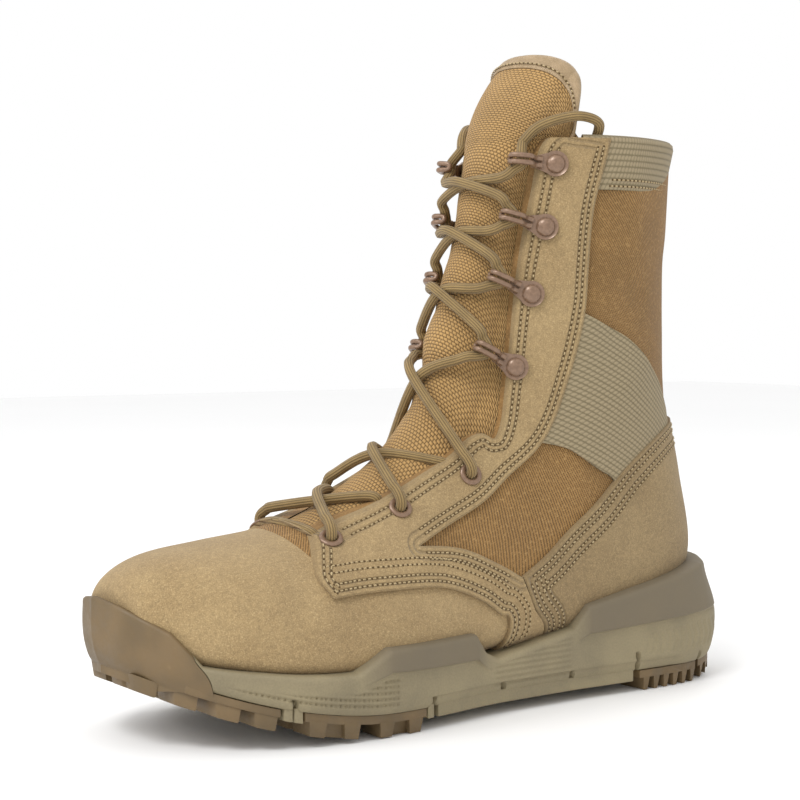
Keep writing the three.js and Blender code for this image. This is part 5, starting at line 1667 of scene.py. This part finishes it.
# share of the stitch's length, height and thickness in shares of the thread's
THREAD_RINGS = [(0.0, -0.35, 0.6), (0.18, 0.12, 1.0), (0.5, 0.26, 1.05), (0.82, 0.12, 1.0), (1.0, -0.35, 0.6)]
# dark discs of painted shade in the holes: how far beyond each end, how high over the surface, half length
# and half width
HOLE_BEYOND, HOLE_LIFT, HOLE_LONG, HOLE_WIDE = 0.25, 0.06, 0.5, 0.52


def stitch_shapes(first, second, out):
    """A thread between two holes: a bent six-sided rod, and at each end a small dark disc of painted shade
    for the hole.
    """
    run = second - first
    length = np.linalg.norm(run)
    run = run / length
    side_way = np.cross(out, run)
    turns = [(math.cos(k * math.pi / 3), math.sin(k * math.pi / 3)) for k in range(ROD_SIDES)]
    verts, faces, hole_verts, hole_faces = [], [], [], []
    for share, lift, size in THREAD_RINGS:
        centre = first + run * length * share + out * lift
        verts += [centre + (side_way * cos + out * sin) * THREAD * size for cos, sin in turns]
    for ring in range(0, (len(THREAD_RINGS) - 1) * ROD_SIDES, ROD_SIDES):
        for k in range(ROD_SIDES):
            a, b = ring + k, ring + (k + 1) % ROD_SIDES
            faces.append((a, b, b + ROD_SIDES, a + ROD_SIDES))
    for place in (first - run * HOLE_BEYOND, second + run * HOLE_BEYOND):
        hole_faces.append(tuple(range(len(hole_verts), len(hole_verts) + ROD_SIDES)))
        centre = place + out * HOLE_LIFT
        hole_verts += [centre + run * cos * HOLE_LONG + side_way * sin * HOLE_WIDE for cos, sin in turns]
    return verts, faces, hole_verts, hole_faces


print("faces of a stitch:", (len(THREAD_RINGS) - 1) * ROD_SIDES)


# %% Rows
def along_row(points):
    """Distance along a row of points, for each of them."""
    return np.concatenate([[0], np.cumsum(np.linalg.norm(np.diff(points, axis=0), axis=1))])


def side_row(tree, line, sign):
    """A row seen from one side: its length, and what finds a point and a normal along it."""
    fine = curve_through(line, 0.5)
    run = along_row(fine)

    def find(spot):
        return dropped(tree, np.interp(spot, run, fine[:, 0]), np.interp(spot, run, fine[:, 1]), sign)

    return run[-1], find


def laid_row(points, outs):
    """A row along points whose normals are known."""
    run = along_row(points)

    def find(spot):
        return [np.array([np.interp(spot, run, column) for column in table.T]) for table in (points, outs)]

    return run[-1], find


print("along a row of 3 mm and 4 mm:", along_row([(0, 0), (3, 0), (3, 4)]))

# %% Sewing
ROW_START, LONGEST = 1.0, 2.5    # where a row starts, and the most that a stitch may be stretched


def sew(name, rows):
    """Sews rows of stitches; every second row starts half a stitch later."""
    verts, faces, holes, hole_faces = [], [], [], []
    for number, (total, find) in enumerate(rows):
        place = ROW_START + number % 2 * STITCH_PITCH / 2
        while place + STITCH_LENGTH < total:
            ends = [find(place), find(place + STITCH_LENGTH)]
            place += STITCH_PITCH
            if ends[0] is None or ends[1] is None:
                continue
            (first, out), (second, _) = ends
            if np.linalg.norm(second - first) > STITCH_LENGTH * LONGEST:
                continue
            thread_verts, thread_faces, rims, discs = stitch_shapes(first, second, out)
            faces += [tuple(i + len(verts) for i in face) for face in thread_faces]
            verts += thread_verts
            hole_faces += [tuple(i + len(holes) for i in face) for face in discs]
            holes += rims
    thread = new_mesh(name, verts, faces)
    smooth(thread, 60)
    # painted shade: dark discs where the needle went through
    hole_shade_discs = new_mesh(name + "_holes", holes, hole_faces)
    tidy(hole_shade_discs, merge=0.0001, flip=False)
    return thread, hole_shade_discs


print("stitches start every", STITCH_PITCH, "mm")

# %% Thread, and painted shade in the holes
def thread_finish():
    finish = Finish("sewing thread", Roughness=0.7, Sheen_Weight=0.2)
    vector, x, y, z = finish.place()
    fine = finish.noise(vector, 0.5, 2)
    return finish.make(finish.mix(fine.ramp(0.3, 0.7), tone("#98835c"), tone("#bba67d")), fine, 0.05)


# The shade inside each needle hole is painted as dark colour on a small disc.
def hole_shade_finish():
    finish = Finish("needle holes", Roughness=0.95)
    vector, x, y, z = finish.place()
    fine = finish.noise(vector, 0.5, 2)
    return finish.make(finish.mix(fine, tone("#46341b"), tone("#604c2c")))


thread_tone, hole_shade_tone = thread_finish(), hole_shade_finish()
print("nodes of the thread:", len(thread_tone.node_tree.nodes))

# %% All rows
EDGE_ROWS, INNER_ROWS, FRONT_ROWS = (2.4, 4.8), (8.6, 11.0), (7.6, 10.0)
COLLAR_ROWS, COLLAR_ROW_ENDS = (1.6, 4.2), (85, 2)
rows = []
for sign in SIDES.values():
    trees = [surface_tree(piece) for piece in (facings[sign], counter, collar)]
    on_facing, on_counter, on_collar = trees
    # surface, edge, first and last point that are sewn, distances from the edge
    plan = [
        (on_facing, facing_back_line, 2, -2, EDGE_ROWS), (on_facing, band_top_line, 1, -3, EDGE_ROWS),
        (on_facing, band_lower_line, 6, None, EDGE_ROWS),
        (on_facing, band_lower_line, 12, None, INNER_ROWS),
        (on_facing, band_front_line, 0, None, EDGE_ROWS), (on_facing, throat_line, 6, -4, EDGE_ROWS),
        (on_counter, counter_top_line, 2, -8, EDGE_ROWS), (on_counter, counter_top_line, 2, -10, INNER_ROWS),
        (on_counter, counter_front_line, 3, -2, EDGE_ROWS),
        (on_counter, counter_front_line, 3, -2, FRONT_ROWS),
    ]
    for tree, line, first, last, distances in plan:
        rows += [side_row(tree, moved(line, distance)[first:last], sign) for distance in distances]
    for height in COLLAR_ROWS:
        line = [(x, COLLAR_BOTTOM + height) for x in range(*COLLAR_ROW_ENDS, -4)]
        rows.append(side_row(on_collar, line, sign))
print("rows from both sides:", len(rows))

# %% Seam of the tongue's binding
SEAM_DROP, SEAM_PROUD, SEAM_REACH = 5.6, 1.35, 0.93
share = np.linspace(-SEAM_REACH, SEAM_REACH, 160)
seam_s = 1 + (arch_top(share) - SEAM_DROP) / RISE_PER_S
seam_angle = tongue_angle(seam_s, share)
seam_points = over_form(seam_s, seam_angle, tongue_front(seam_s, share) + SEAM_PROUD, above)
rows.append(laid_row(seam_points, normals(seam_s, seam_angle, above)))
stitches, hole_shade_discs = sew("stitches", rows)
finished(stitches, thread_tone)
finished(hole_shade_discs, hole_shade_tone)

# %% [markdown]
# A pale floor and soft lamps, as in a small studio: one broad lamp over the boot, a weaker one from the
# side of the camera, and a bright surround.

# %% Studio
FLOOR_SIZE, FLOOR_DROP = 6, 0.0002
deselect()
bpy.ops.mesh.primitive_plane_add(size=FLOOR_SIZE, location=(0, 0, -FLOOR_DROP))
floor = bpy.context.object
floor.name = "floor"
floor_finish = Finish("pale floor", Roughness=0.7)
floor_shade = floor_finish.noise(floor_finish.place()[0], 400, 2)
floor_colour = floor_finish.mix(floor_shade, (0.93, 0.93, 0.93, 1), (0.95, 0.95, 0.95, 1))
floor.data.materials.append(floor_finish.make(floor_colour))

world = bpy.data.worlds.new("surround")
bpy.context.scene.world = world
world.use_nodes = True
world.node_tree.nodes["Background"].inputs["Color"].default_value = (1, 1, 1, 1)
world.node_tree.nodes["Background"].inputs["Strength"].default_value = 1.0
bpy.context.scene.view_settings.view_transform = "Standard"
print("floor:", FLOOR_SIZE, "m wide")

# %% Lamps
LAMP_SIZE = 0.5


def lamp(name, place, power):
    """A square lamp that looks at the boot."""
    bpy.ops.object.light_add(type="AREA", location=place)
    light = bpy.context.object
    light.name = name
    light.data.size = LAMP_SIZE
    light.data.energy = power
    light.rotation_mode = "QUATERNION"
    light.rotation_quaternion = (Vector((0, 0, 0.12)) - Vector(place)).to_track_quat("-Z", "Y")


lamp("key lamp", (0.95, 0.45, 1.35), 10)
lamp("front lamp", (1.3, -0.2, 1.0), 4)
lamp("back lamp", (-0.9, -0.5, 1.2), 2)
print("lamps: 3")
